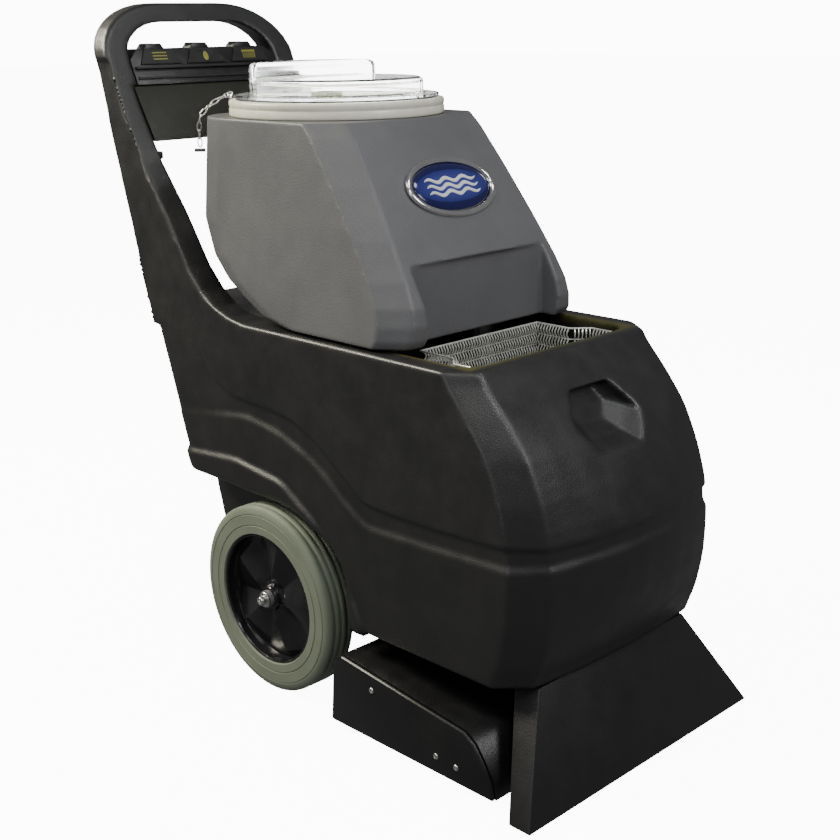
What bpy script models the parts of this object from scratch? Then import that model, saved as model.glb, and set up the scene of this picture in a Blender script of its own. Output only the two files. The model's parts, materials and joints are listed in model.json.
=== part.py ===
"""Self-contained carpet cleaner: tub on two wheels, lift-off recovery tank, brush head and vacuum shoe.

Metres, +Z up. The shoe faces -Y and the handle +Y. Every shape is placed from the wheel axle, and an
empty moves the whole machine so that the middle of its length lies over the origin.
"""

import math

import bmesh
import bpy
from mathutils import Matrix, Vector

# Overall sizes, measured from the wheel axle
SHOE_REACH = 0.563
HANDLE_REACH = 0.478
HANDLE_TOP = 1.044
AXLE_Y = (SHOE_REACH - HANDLE_REACH) / 2
GAP = 0.0004

# Wheels and axle
WHEEL_RADIUS = 0.150
TYRE_WIDTH = 0.054
RIM_RADIUS = 0.104
WHEEL_FACE = 0.232
AXLE_RADIUS = 0.009
BUSH_WALL = 0.004
FIT = 0.0005

# Tub
BODY_BOTTOM = 0.155
RIM_HEIGHT = 0.575
SIDE_HALF = 0.215
SIDE_HALF_TOP = 0.195
FRONT_HALF = 0.176
CHAMFER_DEPTH = 0.042
DRAFT_START = 0.360
FRONT_BOW = 0.024
SMOOTHING = 0.012
MOUTH_HALF = 0.170
MOUTH_FRONT = -0.378
MOUTH_BACK = -0.110
MOUTH_FLOOR = 0.200
CAVITY_HALF = 0.150
BAY_HALF = 0.150
BAY_FRONT = -0.080
BAY_BACK = 0.150
BAY_TOP = 0.480

RECESS_HALF = 0.072
RECESS_Z = 0.489
RECESS_LOW = 0.453
RECESS_HIGH = 0.529
RECESS_Y = -0.486
RECESS_DEPTH = 0.044

# Handle
ARM_INNER = 0.158
LOOP_FOOT = 0.915
LOOP_DEPTH = 0.045
LOOP_LEAN = 0.45
GRIP_HALF = 0.150
GRIP_TOP = 1.013
GRIP_CORNER_HALF = 0.085
GRIP_CORNER_RISE = 0.058
CORNER_HALF = 0.130
CORNER_FOOT = 0.955

# Console
PANEL_FOOT = 0.828
HOUSING_SHOULDER = 0.955
HOUSING_TOP = 0.971
HOUSING_TOP_HALF = 0.132
HOUSING_DEPTH = 0.040
SWITCHES = ((-0.092, "suction"), (0.0, "spray"), (0.092, "brush"))
SWITCH_HEIGHT = 0.969
SWITCH_HALF = 0.022
SWITCH_RADIUS = 0.012

# Recovery tank
TANK_BOTTOM = RIM_HEIGHT + 0.004
TANK_TOP = 0.874
TANK_WALL = 0.006
NOTCH_HALF = 0.138
NOTCH_TOP = 0.688
NOTCH_FACE = -0.238
LID_Y = 0.060
RING_RADIUS = 0.166
RING_HOLE = 0.140
RING_HEIGHT = 0.024
DOME_RADIUS = 0.134
DOME_WALL = 0.003
LOW_DOME = 0.028
TALL_DOME = 0.051
DOME_EDGE = 0.008
FLANGE_RADIUS = 0.158
TIER_CHORD = 0.045
VALVE_X = 0.060
VALVE_Y = 0.216
VALVE_Z = 0.650

# Brush head
HEAD_HALF = 0.238
END_PLATE = 0.0076
HEAD_BACK = -0.165
HEAD_FRONT = -0.490
HEAD_CLEARANCE = 0.012
PIVOT_Y = -0.158
PIVOT_Z = 0.137
BRUSH_Y = -0.330
BRUSH_Z = 0.050
BRUSH_RADIUS = 0.040
BRUSH_CORE = 0.032
MOTOR_Y = -0.216
MOTOR_Z = 0.064

# Vacuum shoe
SHOE_HALF = 0.255
SHOE_TOP_HALF = 0.165
SHOE_TOP = 0.153
SHOE_TOP_FRONT = -0.500
SHOE_DEPTH = 0.042
SHOE_WALL = 0.004
PIPE_X = 0.100
PIPE_RADIUS = 0.016
PORT_Y = -0.150
AIR_X = -0.050
AIR_Y = 0.025
FAN_Y = 0.085
DUCT_RADIUS = 0.020

# Basket
BASKET_HALF = 0.150
BASKET_BACK_HALF = 0.127
BASKET_SHOULDER = -0.305
BASKET_FRONT = MOUTH_FRONT + 0.006
BASKET_BACK = NOTCH_FACE - 0.003
BASKET_TOP = RIM_HEIGHT - 0.005
BASKET_FLOOR = 0.452
BASKET_WALL = 0.003

COLOURS = {
    "body_black": ((0.012, 0.012, 0.013), 0.45, 0.0),
    "tank_grey": ((0.105, 0.107, 0.120), 0.55, 0.0),
    "ring_cream": ((0.80, 0.78, 0.68), 0.35, 0.0),
    "clear_lid": ((0.85, 0.90, 0.92), 0.08, 0.0),
    "tyre_grey": ((0.25, 0.28, 0.24), 0.75, 0.0),
    "rim_black": ((0.012, 0.012, 0.014), 0.25, 0.0),
    "steel": ((0.62, 0.62, 0.60), 0.25, 1.0),
    "chrome": ((0.80, 0.80, 0.82), 0.10, 1.0),
    "badge_blue": ((0.02, 0.03, 0.30), 0.20, 0.0),
    "black_rubber": ((0.02, 0.02, 0.02), 0.80, 0.0),
    "bristle": ((0.05, 0.05, 0.06), 0.70, 0.0),
    "motor_metal": ((0.35, 0.35, 0.36), 0.40, 0.8),
    "hose_grey": ((0.20, 0.20, 0.21), 0.60, 0.0),
    "switch_black": ((0.015, 0.015, 0.015), 0.35, 0.0),
}


def clear_scene():
    for old in list(bpy.data.objects):
        bpy.data.objects.remove(old, do_unlink=True)


clear_scene()
parts = bpy.data.collections.new("carpet_cleaner")
cutters = bpy.data.collections.new("cutters")
bpy.context.scene.collection.children.link(parts)
bpy.context.scene.collection.children.link(cutters)
root = bpy.data.objects.new("carpet_cleaner_origin", None)
root.location = (0, AXLE_Y, 0)
parts.objects.link(root)


def make_materials():
    made = {}
    for name, (colour, roughness, metallic) in COLOURS.items():
        material = bpy.data.materials.new(name)
        material.use_nodes = True
        shader = material.node_tree.nodes["Principled BSDF"]
        shader.inputs["Base Color"].default_value = (*colour, 1)
        shader.inputs["Roughness"].default_value = roughness
        shader.inputs["Metallic"].default_value = metallic
        made[name] = material
    return made


materials = make_materials()


# ---------------------------------------------------------------- building blocks
def add(name, mesh, material=None):
    """A named part, or a cutter when it has no material, carried by the origin empty."""
    piece = bpy.data.objects.new(name, mesh)
    piece.parent = root
    if material is None:
        cutters.objects.link(piece)
        piece.hide_render = True
        piece.display_type = "WIRE"
    else:
        parts.objects.link(piece)
        mesh.materials.append(materials[material])
    return piece


def finished(name, form, material=None, smooth=None):
    mesh = bpy.data.meshes.new(name)
    bmesh.ops.recalc_face_normals(form, faces=form.faces)
    form.to_mesh(mesh)
    form.free()
    if smooth:
        mesh.shade_smooth()
        mesh.set_sharp_from_angle(angle=math.radians(smooth))
    return add(name, mesh, material)


def box(name, low, high, material=None, bevel=0.0):
    form = bmesh.new()
    bmesh.ops.create_cube(form, size=1)
    low, high = Vector(low), Vector(high)
    size = Matrix.Diagonal((*(high - low), 1))
    bmesh.ops.transform(form, matrix=Matrix.Translation((low + high) / 2) @ size, verts=form.verts)
    piece = finished(name, form, material)
    if bevel:
        round_edges(piece, bevel)
    return piece


def cylinder(name, start, end, radius, material=None, segments=24):
    """A rod from start to end."""
    start, end = Vector(start), Vector(end)
    form = bmesh.new()
    bmesh.ops.create_cone(
        form,
        cap_ends=True,
        segments=segments,
        radius1=radius,
        radius2=radius,
        depth=(end - start).length,
    )
    turn = (end - start).to_track_quat("Z", "Y").to_matrix().to_4x4()
    bmesh.ops.transform(form, matrix=Matrix.Translation((start + end) / 2) @ turn, verts=form.verts)
    return finished(name, form, material, smooth=40)


def turned(name, profile, centre, material=None, steps=48, along_x=0):
    """A closed or axis-to-axis profile of (radius, height), top to bottom, spun about Z or, turned over, X."""
    mesh = bpy.data.meshes.new(name)
    points = [(radius, 0, height) for radius, height in profile]
    edges = [(i, i + 1) for i in range(len(points) - 1)]
    if profile[0][0] > 0:
        edges.append((len(points) - 1, 0))
    mesh.from_pydata(points, edges, [])
    piece = add(name, mesh, material)
    piece.location = centre
    if along_x:
        piece.rotation_euler = (0, along_x * math.pi / 2, 0)
    screw = piece.modifiers.new("Spin", "SCREW")
    screw.steps = steps
    screw.render_steps = steps
    screw.use_merge_vertices = True
    screw.merge_threshold = 0.00005
    screw.use_smooth_shade = True
    return piece


def tube(name, points, radius, material, bevel_resolution=3):
    curve = bpy.data.curves.new(name, "CURVE")
    curve.dimensions = "3D"
    curve.bevel_depth = radius
    curve.bevel_resolution = bevel_resolution
    curve.use_fill_caps = True
    spline = curve.splines.new("POLY")
    spline.points.add(len(points) - 1)
    for point, place in zip(spline.points, points):
        point.co = (*place, 1)
    piece = bpy.data.objects.new(name, curve)
    return as_mesh(piece, material)


def as_mesh(piece, material):
    """Swaps a curve object for a welded mesh object of the same shape and place."""
    name = piece.name
    parts.objects.link(piece)
    bpy.context.view_layer.update()
    graph = bpy.context.evaluated_depsgraph_get()
    mesh = bpy.data.meshes.new_from_object(piece.evaluated_get(graph))
    form = bmesh.new()
    form.from_mesh(mesh)
    form.transform(piece.matrix_world)
    bmesh.ops.remove_doubles(form, verts=form.verts, dist=0.00001)
    bpy.data.objects.remove(piece, do_unlink=True)
    return finished(name, form, material, smooth=40)


def plate(name, outline, across, material=None):
    """A flat outline of (Y, Z) points, filled and made thick along X between the two values of across."""
    curve = bpy.data.curves.new(name, "CURVE")
    curve.dimensions = "2D"
    curve.fill_mode = "BOTH"
    curve.extrude = (across[1] - across[0]) / 2
    spline = curve.splines.new("POLY")
    spline.points.add(len(outline) - 1)
    for point, (y, z) in zip(spline.points, outline):
        point.co = (y, z, 0, 1)
    spline.use_cyclic_u = True
    piece = bpy.data.objects.new(name, curve)
    # The curve's X and Y become the machine's Y and Z, and its thickness runs along X.
    turn = Matrix(((0, 0, 1, 0), (1, 0, 0, 0), (0, 1, 0, 0), (0, 0, 0, 1)))
    piece.matrix_world = Matrix.Translation(((across[0] + across[1]) / 2, 0, 0)) @ turn
    return as_mesh(piece, material)


def loft(name, sections, material=None, smooth=None):
    """A solid skin through sections that all have the same number of points, with both ends capped."""
    form = bmesh.new()
    rings = [[form.verts.new(point) for point in section] for section in sections]
    count = len(rings[0])
    for lower, upper in zip(rings, rings[1:]):
        for i in range(count):
            j = (i + 1) % count
            form.faces.new((lower[i], lower[j], upper[j], upper[i]))
    form.faces.new(rings[0])
    form.faces.new(rings[-1])
    return finished(name, form, material, smooth)


def boolean(piece, other, operation):
    step = piece.modifiers.new(operation.title(), "BOOLEAN")
    step.operation = operation
    step.object = other
    return piece


def cut(piece, *others):
    for other in others:
        boolean(piece, other, "DIFFERENCE")


def join(piece, *others):
    for other in others:
        boolean(piece, other, "UNION")


def round_edges(piece, width, segments=2, angle=35):
    bevel = piece.modifiers.new("Edges", "BEVEL")
    bevel.width = width
    bevel.segments = segments
    bevel.limit_method = "ANGLE"
    bevel.angle_limit = math.radians(angle)


def interpolated(table, place):
    """The value at a place in a table of (place, value) rows in rising order of place."""
    if place <= table[0][0]:
        return table[0][1]
    for (low, first), (high, second) in zip(table, table[1:]):
        if place <= high:
            return first + (second - first) * (place - low) / (high - low)
    return table[-1][1]


def resampled(table, count):
    """The same rows of (place, value) as a smooth curve through them, at evenly spaced places."""
    places = [row[0] for row in table]
    low, high = places[0], places[-1]
    rows = []
    for i in range(count + 1):
        place = low + (high - low) * i / count
        near = [place - SMOOTHING, place, place + SMOOTHING]
        values = [interpolated(table, min(high, max(low, spot))) for spot in near]
        rows.append((place, (values[0] + 2 * values[1] + values[2]) / 4))
    return rows


def arc(centre, radii, start, end, count):
    """Points on a quarter or other stretch of an ellipse, its angles in degrees."""
    angles = [math.radians(start + (end - start) * i / count) for i in range(count + 1)]
    return [(centre[0] + radii[0] * math.cos(a), centre[1] + radii[1] * math.sin(a)) for a in angles]


def plan_section(z, front, front_half, side_half, chamfer, back, back_radius, bow=0.0):
    """A plan outline: bowed front, chamfered front corners, straight sides and round back corners."""
    across = [-1, -0.75, -0.5, -0.25, 0, 0.25, 0.5, 0.75, 1]
    points = [(t * front_half, front - bow * (1 - t * t)) for t in across]
    points.append((side_half, front + chamfer))
    turn = arc((side_half - back_radius, back - back_radius), (back_radius, back_radius), 0, 90, 4)
    points += turn
    points += [(-x, y) for x, y in reversed(turn)]
    points.append((-side_half, front + chamfer))
    return [(x, y, z) for x, y in points]


# ---------------------------------------------------------------- tub and handle
TUB_FRONT = (
    (BODY_BOTTOM, -0.498),
    (0.201, -0.516),
    (0.255, -0.526),
    (0.300, -0.528),
    (0.332, -0.527),
    (0.372, -0.523),
    (0.421, -0.508),
    (0.476, -0.483),
    (0.523, -0.446),
    (0.560, -0.411),
    (RIM_HEIGHT, -0.400),
)
MOUTH_ROWS = (
    (MOUTH_FLOOR, -0.488, CAVITY_HALF),
    (0.345, -0.488, CAVITY_HALF),
    (0.400, -0.478, MOUTH_HALF),
    (0.430, -0.425, MOUTH_HALF),
    (0.500, -0.405, MOUTH_HALF),
    (RIM_HEIGHT - 0.010, MOUTH_FRONT, MOUTH_HALF),
    (RIM_HEIGHT + 0.020, MOUTH_FRONT, MOUTH_HALF),
)
TUB_BACK = ((BODY_BOTTOM, 0.165), (0.310, 0.207), (0.530, 0.293), (RIM_HEIGHT, 0.309))
ARM_BACK = ((0.540, 0.297), (RIM_HEIGHT, 0.309), (0.680, 0.348), (0.769, 0.378), (0.840, 0.402), (0.935, 0.428))
ARM_FRONT = (
    (0.560, 0.020),
    (RIM_HEIGHT - 0.001, 0.049),
    (0.580, 0.090),
    (0.592, 0.127),
    (0.612, 0.160),
    (0.644, 0.192),
    (0.722, 0.245),
    (0.798, 0.306),
    (0.874, 0.354),
    (0.935, 0.386),
)


def side_half(z):
    """Half the tub's width, which draws in above the lower side panel."""
    if z <= DRAFT_START:
        return SIDE_HALF
    return SIDE_HALF + (SIDE_HALF_TOP - SIDE_HALF) * min(1, (z - DRAFT_START) / (0.95 - DRAFT_START))


def make_tub():
    sections = []
    for z, front in resampled(TUB_FRONT, 24):
        bow = FRONT_BOW * (1 - max(0, z - 0.36) / (RIM_HEIGHT - 0.36)) * (0.4 + 0.6 * min(1, (z - 0.15) / 0.15))
        back = interpolated(TUB_BACK, z)
        sections.append(plan_section(z, front, FRONT_HALF, side_half(z), CHAMFER_DEPTH, back, 0.030, bow))
    tub = loft("body_shell", sections, "body_black", smooth=25)
    for side in (-1, 1):
        join(tub, make_arm(side))
    join(tub, make_handle_loop())
    cut(tub, make_mouth_cutter(), make_bay_cutter(), make_recess_cutter())
    cut(tub, cylinder("pipe_way", (PIPE_X, -0.480, 0.10), (PIPE_X, -0.468, 0.24), PIPE_RADIUS + 0.006))
    cut(tub, cylinder("duct_way", *duct_ends(0.1), DUCT_RADIUS + 0.004))
    for side in (-1, 1):
        cut(tub, make_wheel_well(side))
    cut(tub, box("axle_way", (-0.18, -0.012, 0.10), (0.18, 0.012, BODY_BOTTOM + 0.010)))
    return tub


def make_arm(side):
    outline = [(y, z) for z, y in ARM_BACK] + [(y, z) for z, y in reversed(ARM_FRONT)]
    outer = [(side * side_half(z), y, z) for y, z in outline]
    inner = [(side * ARM_INNER, y, z) for y, z in outline]
    return loft("arm_union_" + ("left" if side < 0 else "right"), [inner, outer])


def loop_y(z):
    """The middle of the handle loop's thickness, which leans back as it rises."""
    return HANDLE_REACH - LOOP_DEPTH / 2 - LOOP_LEAN * (HANDLE_TOP - z)


def make_handle_loop():
    """The loop that joins the arms: a rounded frame with a grip opening, cut from a leaning slab."""
    corner = HANDLE_TOP - CORNER_FOOT
    outline = [(SIDE_HALF_TOP, LOOP_FOOT)]
    outline += arc((SIDE_HALF_TOP - CORNER_HALF, CORNER_FOOT), (CORNER_HALF, corner), 0, 90, 8)
    outline += [(-x, z) for x, z in reversed(outline)]
    opening = [(GRIP_HALF, LOOP_FOOT - 0.03)]
    middle = (GRIP_HALF - GRIP_CORNER_HALF, GRIP_TOP - GRIP_CORNER_RISE)
    opening += arc(middle, (GRIP_CORNER_HALF, GRIP_CORNER_RISE), 0, 90, 8)
    opening += [(-x, z) for x, z in reversed(opening)]
    slab = leaning_slab("handle_loop", outline, LOOP_DEPTH)
    cut(slab, leaning_slab("grip_opening", opening, LOOP_DEPTH * 3))
    return slab


def leaning_slab(name, outline, depth, material=None):
    """A front outline of (X, Z) made depth thick along Y, around the handle loop's middle."""
    layers = []
    for step in (-depth / 2, depth / 2):
        layers.append([(x, loop_y(z) + step, z) for x, z in outline])
    return loft(name, layers, material)


def make_mouth_cutter():
    """The solution tank's inside and its fill mouth, with round corners."""
    radius = 0.030
    rows = []
    for z, front, half in MOUTH_ROWS:
        section = []
        middle, reach = (front + MOUTH_BACK) / 2, (MOUTH_BACK - front) / 2 - radius
        for sx, sy, start in ((1, -1, 270), (1, 1, 0), (-1, 1, 90), (-1, -1, 180)):
            centre = (sx * (half - radius), middle + sy * reach)
            section += arc(centre, (radius, radius), start, start + 90, 3)
        rows.append([(x, y, z) for x, y in section])
    return loft("mouth_cutter", rows)


def make_bay_cutter():
    return box(
        "bay_cutter",
        (-BAY_HALF, BAY_FRONT, BODY_BOTTOM - 0.02),
        (BAY_HALF, BAY_BACK, BAY_TOP),
    )


def make_recess_cutter():
    """The finger recess: a six-sided scoop that follows the front's slope and narrows as it goes in and up."""
    corners = (
        (RECESS_HALF * 0.60, RECESS_LOW - RECESS_Z),
        (RECESS_HALF, 0.0),
        (RECESS_HALF * 0.66, RECESS_HIGH - RECESS_Z),
    )
    corners += tuple((-x, z) for x, z in reversed(corners))
    layers = []
    for depth, size, rise in ((-0.10, 1.0, 0.0), (0.0, 1.0, 0.0), (0.026, 0.84, 0.006), (RECESS_DEPTH, 0.60, 0.012)):
        place = [(x * size, z * size + rise) for x, z in corners]
        layers.append([(x, RECESS_Y + depth + 0.62 * z, RECESS_Z + z) for x, z in place])
    return loft("recess_cutter", layers)


def make_wheel_well(side):
    """The space above and around a wheel: round in front, level above, open to the back and below."""
    outline = [(-0.186, 0.10), (-0.186, 0.160)]
    outline += arc((-0.020, 0.166), (0.166, 0.150), 180, 90, 8)[1:]
    outline += [(0.26, 0.322), (0.26, 0.10)]
    across = (ARM_INNER + 0.010, SIDE_HALF + 0.03)
    if side < 0:
        across = (-across[1], -across[0])
    return plate("wheel_well_" + ("left" if side < 0 else "right"), outline, across)


def make_console():
    """The panel between the arms, and the switch housing on it."""
    top = LOOP_FOOT - 0.001
    corners = ((0.326, PANEL_FOOT), (0.378, top), (0.412, top), (0.362, PANEL_FOOT))
    half = ARM_INNER - 0.001
    panel = plate("console_panel", corners, (-half, half), "body_black")
    round_edges(panel, 0.003, 2)
    edge = GRIP_HALF - 0.001
    outline = [(edge, LOOP_FOOT), (edge, HOUSING_SHOULDER), (HOUSING_TOP_HALF, HOUSING_TOP)]
    outline += [(-x, z) for x, z in reversed(outline)]
    housing = leaning_slab("switch_housing", outline, HOUSING_DEPTH, "body_black")
    for place, name in SWITCHES:
        y, z = switch_axis()
        low = (place - SWITCH_HALF - 0.001, y - SWITCH_RADIUS - 0.001, z - SWITCH_RADIUS - 0.001)
        high = (place + SWITCH_HALF + 0.001, y + SWITCH_RADIUS + 0.001, z + 0.05)
        cut(housing, box("pocket_" + name, low, high))
    return panel, housing


def switch_axis():
    return loop_y(SWITCH_HEIGHT), SWITCH_HEIGHT


def make_switch(place, name):
    """A rocker: a round back in its pocket and two raised wings on top, on a pin along X."""
    y, z = switch_axis()
    outline = arc((0, 0), (SWITCH_RADIUS, SWITCH_RADIUS), 180, 360, 8)
    outline += [(SWITCH_RADIUS, 0.011), (0.0, 0.0045), (-SWITCH_RADIUS, 0.011)]
    outline = [(y + a, z + b) for a, b in outline]
    return plate("rocker_" + name, outline, (place - SWITCH_HALF, place + SWITCH_HALF), "switch_black")


# ---------------------------------------------------------------- wheels
def make_wheel(side, word):
    """A solid tyre on a dished rim with a plain bush, all about the axle."""
    inner = WHEEL_FACE - TYRE_WIDTH
    half = TYRE_WIDTH / 2
    centre = (side * (inner + half), 0, WHEEL_RADIUS)
    tyre = [
        (RIM_RADIUS + GAP, half - 0.002),
        (RIM_RADIUS + 0.010, half),
        (WHEEL_RADIUS - 0.010, half),
        (WHEEL_RADIUS - 0.002, half - 0.006),
        (WHEEL_RADIUS, half - 0.014),
        (WHEEL_RADIUS, -half + 0.014),
        (WHEEL_RADIUS - 0.002, -half + 0.006),
        (WHEEL_RADIUS - 0.010, -half),
        (RIM_RADIUS + 0.010, -half),
        (RIM_RADIUS + GAP, -half + 0.002),
    ]
    turned("tyre_" + word, tyre, centre, "tyre_grey", 56, along_x=side)
    bush = AXLE_RADIUS + FIT + BUSH_WALL
    hub = bush + 0.009
    rim = [
        (bush + GAP, half - 0.004),
        (hub, half - 0.004),
        (hub + 0.004, half - 0.016),
        (RIM_RADIUS - 0.016, half - 0.020),
        (RIM_RADIUS - 0.008, half - 0.004),
        (RIM_RADIUS, half - 0.004),
        (RIM_RADIUS, -half + 0.004),
        (RIM_RADIUS - 0.006, -half + 0.004),
        (RIM_RADIUS - 0.014, half - 0.034),
        (hub + 0.004, half - 0.030),
        (hub, -half + 0.004),
        (bush + GAP, -half + 0.004),
    ]
    turned("wheel_rim_" + word, rim, centre, "rim_black", 48, along_x=side)
    sleeve = [
        (AXLE_RADIUS + FIT, half - 0.002),
        (bush, half - 0.002),
        (bush, -half + 0.002),
        (AXLE_RADIUS + FIT, -half + 0.002),
    ]
    turned("wheel_bush_" + word, sleeve, centre, "hose_grey", 24, along_x=side)


def make_axle():
    reach = WHEEL_FACE - 0.001
    cylinder("axle", (-reach, 0, WHEEL_RADIUS), (reach, 0, WHEEL_RADIUS), AXLE_RADIUS, "steel")
    for side, word in ((-1, "left"), (1, "right")):
        start = side * (WHEEL_FACE - 0.0005)
        nut = side * (WHEEL_FACE + 0.0015)
        place = (0, WHEEL_RADIUS)
        cylinder("axle_washer_" + word, (start, *place), (nut, *place), 0.0165, "steel", 24)
        tip = side * (WHEEL_FACE + 0.0125)
        cylinder("axle_nut_" + word, (nut + side * GAP, *place), (tip, *place), 0.0115, "steel", 6)
        collar = side * (WHEEL_FACE - TYRE_WIDTH - 0.0005)
        inside = side * (ARM_INNER + 0.0115)
        spacer = cylinder("axle_spacer_" + word, (collar, *place), (inside, *place), 0.015, "steel", 20)
        cut(spacer, cylinder("spacer_bore_" + word, (side * 0.15, *place), (side * 0.2, *place), AXLE_RADIUS + 0.0003))


# ---------------------------------------------------------------- recovery tank and lid
TANK_FRONT = (
    (TANK_BOTTOM, -0.262),
    (0.590, -0.270),
    (0.610, -0.272),
    (0.635, -0.267),
    (0.668, -0.250),
    (0.720, -0.217),
    (0.790, -0.169),
    (0.855, -0.121),
    (TANK_TOP, -0.101),
)
TANK_BACK = ((TANK_BOTTOM, 0.030), (0.590, 0.080), (0.610, 0.120), (0.635, 0.165), (0.668, 0.200), (0.720, 0.225))


def tank_section(z, wall=0.0):
    """A plan outline of the recovery tank, or of its inside when a wall is given."""
    share = (z - 0.600) / (TANK_TOP - 0.600)
    front = interpolated(TANK_FRONT, z) + wall
    front_half = 0.168 - 0.038 * share - wall * 0.6
    side = 0.197 - 0.025 * share - wall
    back = interpolated(TANK_BACK, z) - wall
    return plan_section(z, front, front_half, side, CHAMFER_DEPTH, back, min(0.090, 0.4 * (back - front)), 0.008)


def make_recovery_tank():
    tank = loft("recovery_tank", [tank_section(z) for z, _ in TANK_FRONT], "tank_grey", smooth=25)
    notch_low = (-NOTCH_HALF, -0.32, TANK_BOTTOM - 0.02)
    notch_high = (NOTCH_HALF, NOTCH_FACE, NOTCH_TOP)
    cut(tank, box("tank_notch", notch_low, notch_high))
    inside = [0.594, 0.635, 0.668, 0.720, 0.790, 0.855, TANK_TOP - TANK_WALL]
    sections = [tank_section(z, TANK_WALL) for z in inside]
    hollow = loft("tank_hollow", sections)
    step = box(
        "notch_backing",
        (-NOTCH_HALF - TANK_WALL, -0.33, TANK_BOTTOM - 0.02),
        (NOTCH_HALF + TANK_WALL, NOTCH_FACE + TANK_WALL, NOTCH_TOP + TANK_WALL),
    )
    cut(hollow, step)
    cut(tank, hollow)
    hole = RING_HOLE - 0.008
    cut(tank, cylinder("lid_hole", (0, LID_Y, TANK_TOP - 0.03), (0, LID_Y, TANK_TOP + 0.02), hole, None, 40))
    for x, y in ((PIPE_X, PORT_Y), (AIR_X, AIR_Y)):
        cut(tank, cylinder("pipe_port", (x, y, 0.56), (x, y, 0.61), PIPE_RADIUS - 0.004))
    return tank


def make_lid():
    base = TANK_TOP + GAP
    top = RING_HEIGHT
    ring = [
        (RING_HOLE, top - 0.004),
        (RING_HOLE + 0.006, top),
        (RING_RADIUS - 0.004, top),
        (RING_RADIUS, top - 0.004),
        (RING_RADIUS, 0.0),
        (RING_HOLE, 0.0),
    ]
    turned("lid_ring", ring, (0, LID_Y, base), "ring_cream", 56)
    seal_base = base + RING_HEIGHT + GAP
    seal = [(0.152, 0.0020), (0.156, 0.0020), (0.156, 0.0), (0.152, 0.0)]
    turned("lid_seal", seal, (0, LID_Y, seal_base), "black_rubber", 40)
    make_dome(seal_base + 0.0020 + GAP)


def make_dome(base):
    """The clear cover: a flange and a low round tier turned in one, and a taller tier at the back."""
    edge = DOME_EDGE
    outer = [(0.0, LOW_DOME)]
    outer += [(DOME_RADIUS - edge + a, LOW_DOME - edge + b) for a, b in arc((0, 0), (edge, edge), 90, 0, 3)]
    outer += [(DOME_RADIUS, 0.0035), (FLANGE_RADIUS, 0.0035), (FLANGE_RADIUS, 0.0), (0.0, 0.0)]
    cover = turned("lid_dome", outer, (0, LID_Y, base), "clear_lid", 48)
    join(cover, tall_tier("tall_tier", base + 0.0035, base + TALL_DOME, 0.0))
    inside = [(0.0, LOW_DOME - DOME_WALL), (DOME_RADIUS - DOME_WALL, LOW_DOME - DOME_WALL)]
    inside += [(DOME_RADIUS - DOME_WALL, -0.01), (0.0, -0.01)]
    cut(cover, turned("low_inside", inside, (0, LID_Y, base), None, 48))
    cut(cover, tall_tier("tall_inside", base + 0.001, base + TALL_DOME - DOME_WALL, DOME_WALL))


def tall_tier(name, foot, top, wall):
    """The part of a disc behind a chord, drawn in a little at its top edge."""
    radius = DOME_RADIUS - 0.0006 - wall
    chord = TIER_CHORD + wall
    rows = []
    for z, inset in ((foot, 0.0), (top - DOME_EDGE, 0.0), (top - DOME_EDGE * 0.3, 0.0024), (top, 0.008)):
        reach = radius - inset
        start = math.degrees(math.asin((chord + inset) / reach))
        outline = arc((0, LID_Y), (reach, reach), start, 180 - start, 22)
        rows.append([(x, y, z) for x, y in outline])
    return loft(name, rows)


def make_tank_fittings():
    floor = 0.594 + GAP
    for name, x, y, top in (("suction_standpipe", PIPE_X, PORT_Y, 0.760), ("air_standpipe", AIR_X, AIR_Y, 0.858)):
        pipe = cylinder(name, (x, y, floor), (x, y, top), PIPE_RADIUS, "hose_grey", 20)
        bore = PIPE_RADIUS - 0.003
        cut(pipe, cylinder(name + "_bore", (x, y, floor - 0.01), (x, y, top + 0.01), bore, None, 16))
    make_float_cage()
    tilt = math.atan2(0.048, 0.070)
    normal = Vector((0, -math.cos(tilt), math.sin(tilt)))
    middle = Vector((0, interpolated(TANK_FRONT, 0.780) - 0.008, 0.780))
    badge("badge_ring", middle + normal * 0.0006, normal, (0.0885, 0.0485), 0.005, "chrome", hole=(0.077, 0.038))
    badge("badge_plate", middle + normal * 0.0012, normal, (0.0765, 0.0375), 0.004, "badge_blue")
    valve_end = VALVE_Y + 0.056
    cylinder("drain_valve", (VALVE_X, VALVE_Y, VALVE_Z), (VALVE_X, valve_end, VALVE_Z), 0.016, "hose_grey", 20)
    low = (VALVE_X - 0.006, valve_end + GAP, VALVE_Z - 0.008)
    high = (VALVE_X + 0.050, valve_end + GAP + 0.005, VALVE_Z + 0.008)
    box("drain_lever", low, high, "hose_grey", 0.002)
    stud = (-0.117, 0.177, TANK_TOP + RING_HEIGHT)
    cylinder("chain_stud", (*stud[:2], stud[2] + 2 * GAP), (*stud[:2], stud[2] + 0.008), 0.004, "chrome", 16)
    tube("lid_chain", chain_points(), 0.0022, "steel", 2)
    corner, outward = Vector((-0.0867, 0.135, 0.822)), Vector((-0.736, 0.677, 0)).normalized()
    hook = (corner + outward * 0.0910, corner + outward * 0.1080)
    cylinder("chain_hook", *hook, 0.003, "steel", 12)


def chain_points():
    """The chain's line: off the stud, over the ring's edge and down beside the tank to its hook."""
    return [
        (-0.1205, 0.1805, 0.9035),
        (-0.133, 0.193, 0.9010),
        (-0.146, 0.206, 0.8935),
        (-0.156, 0.213, 0.8800),
        (-0.161, 0.215, 0.8640),
        (-0.163, 0.215, 0.8460),
        (-0.163, 0.215, 0.8270),
    ]


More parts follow.
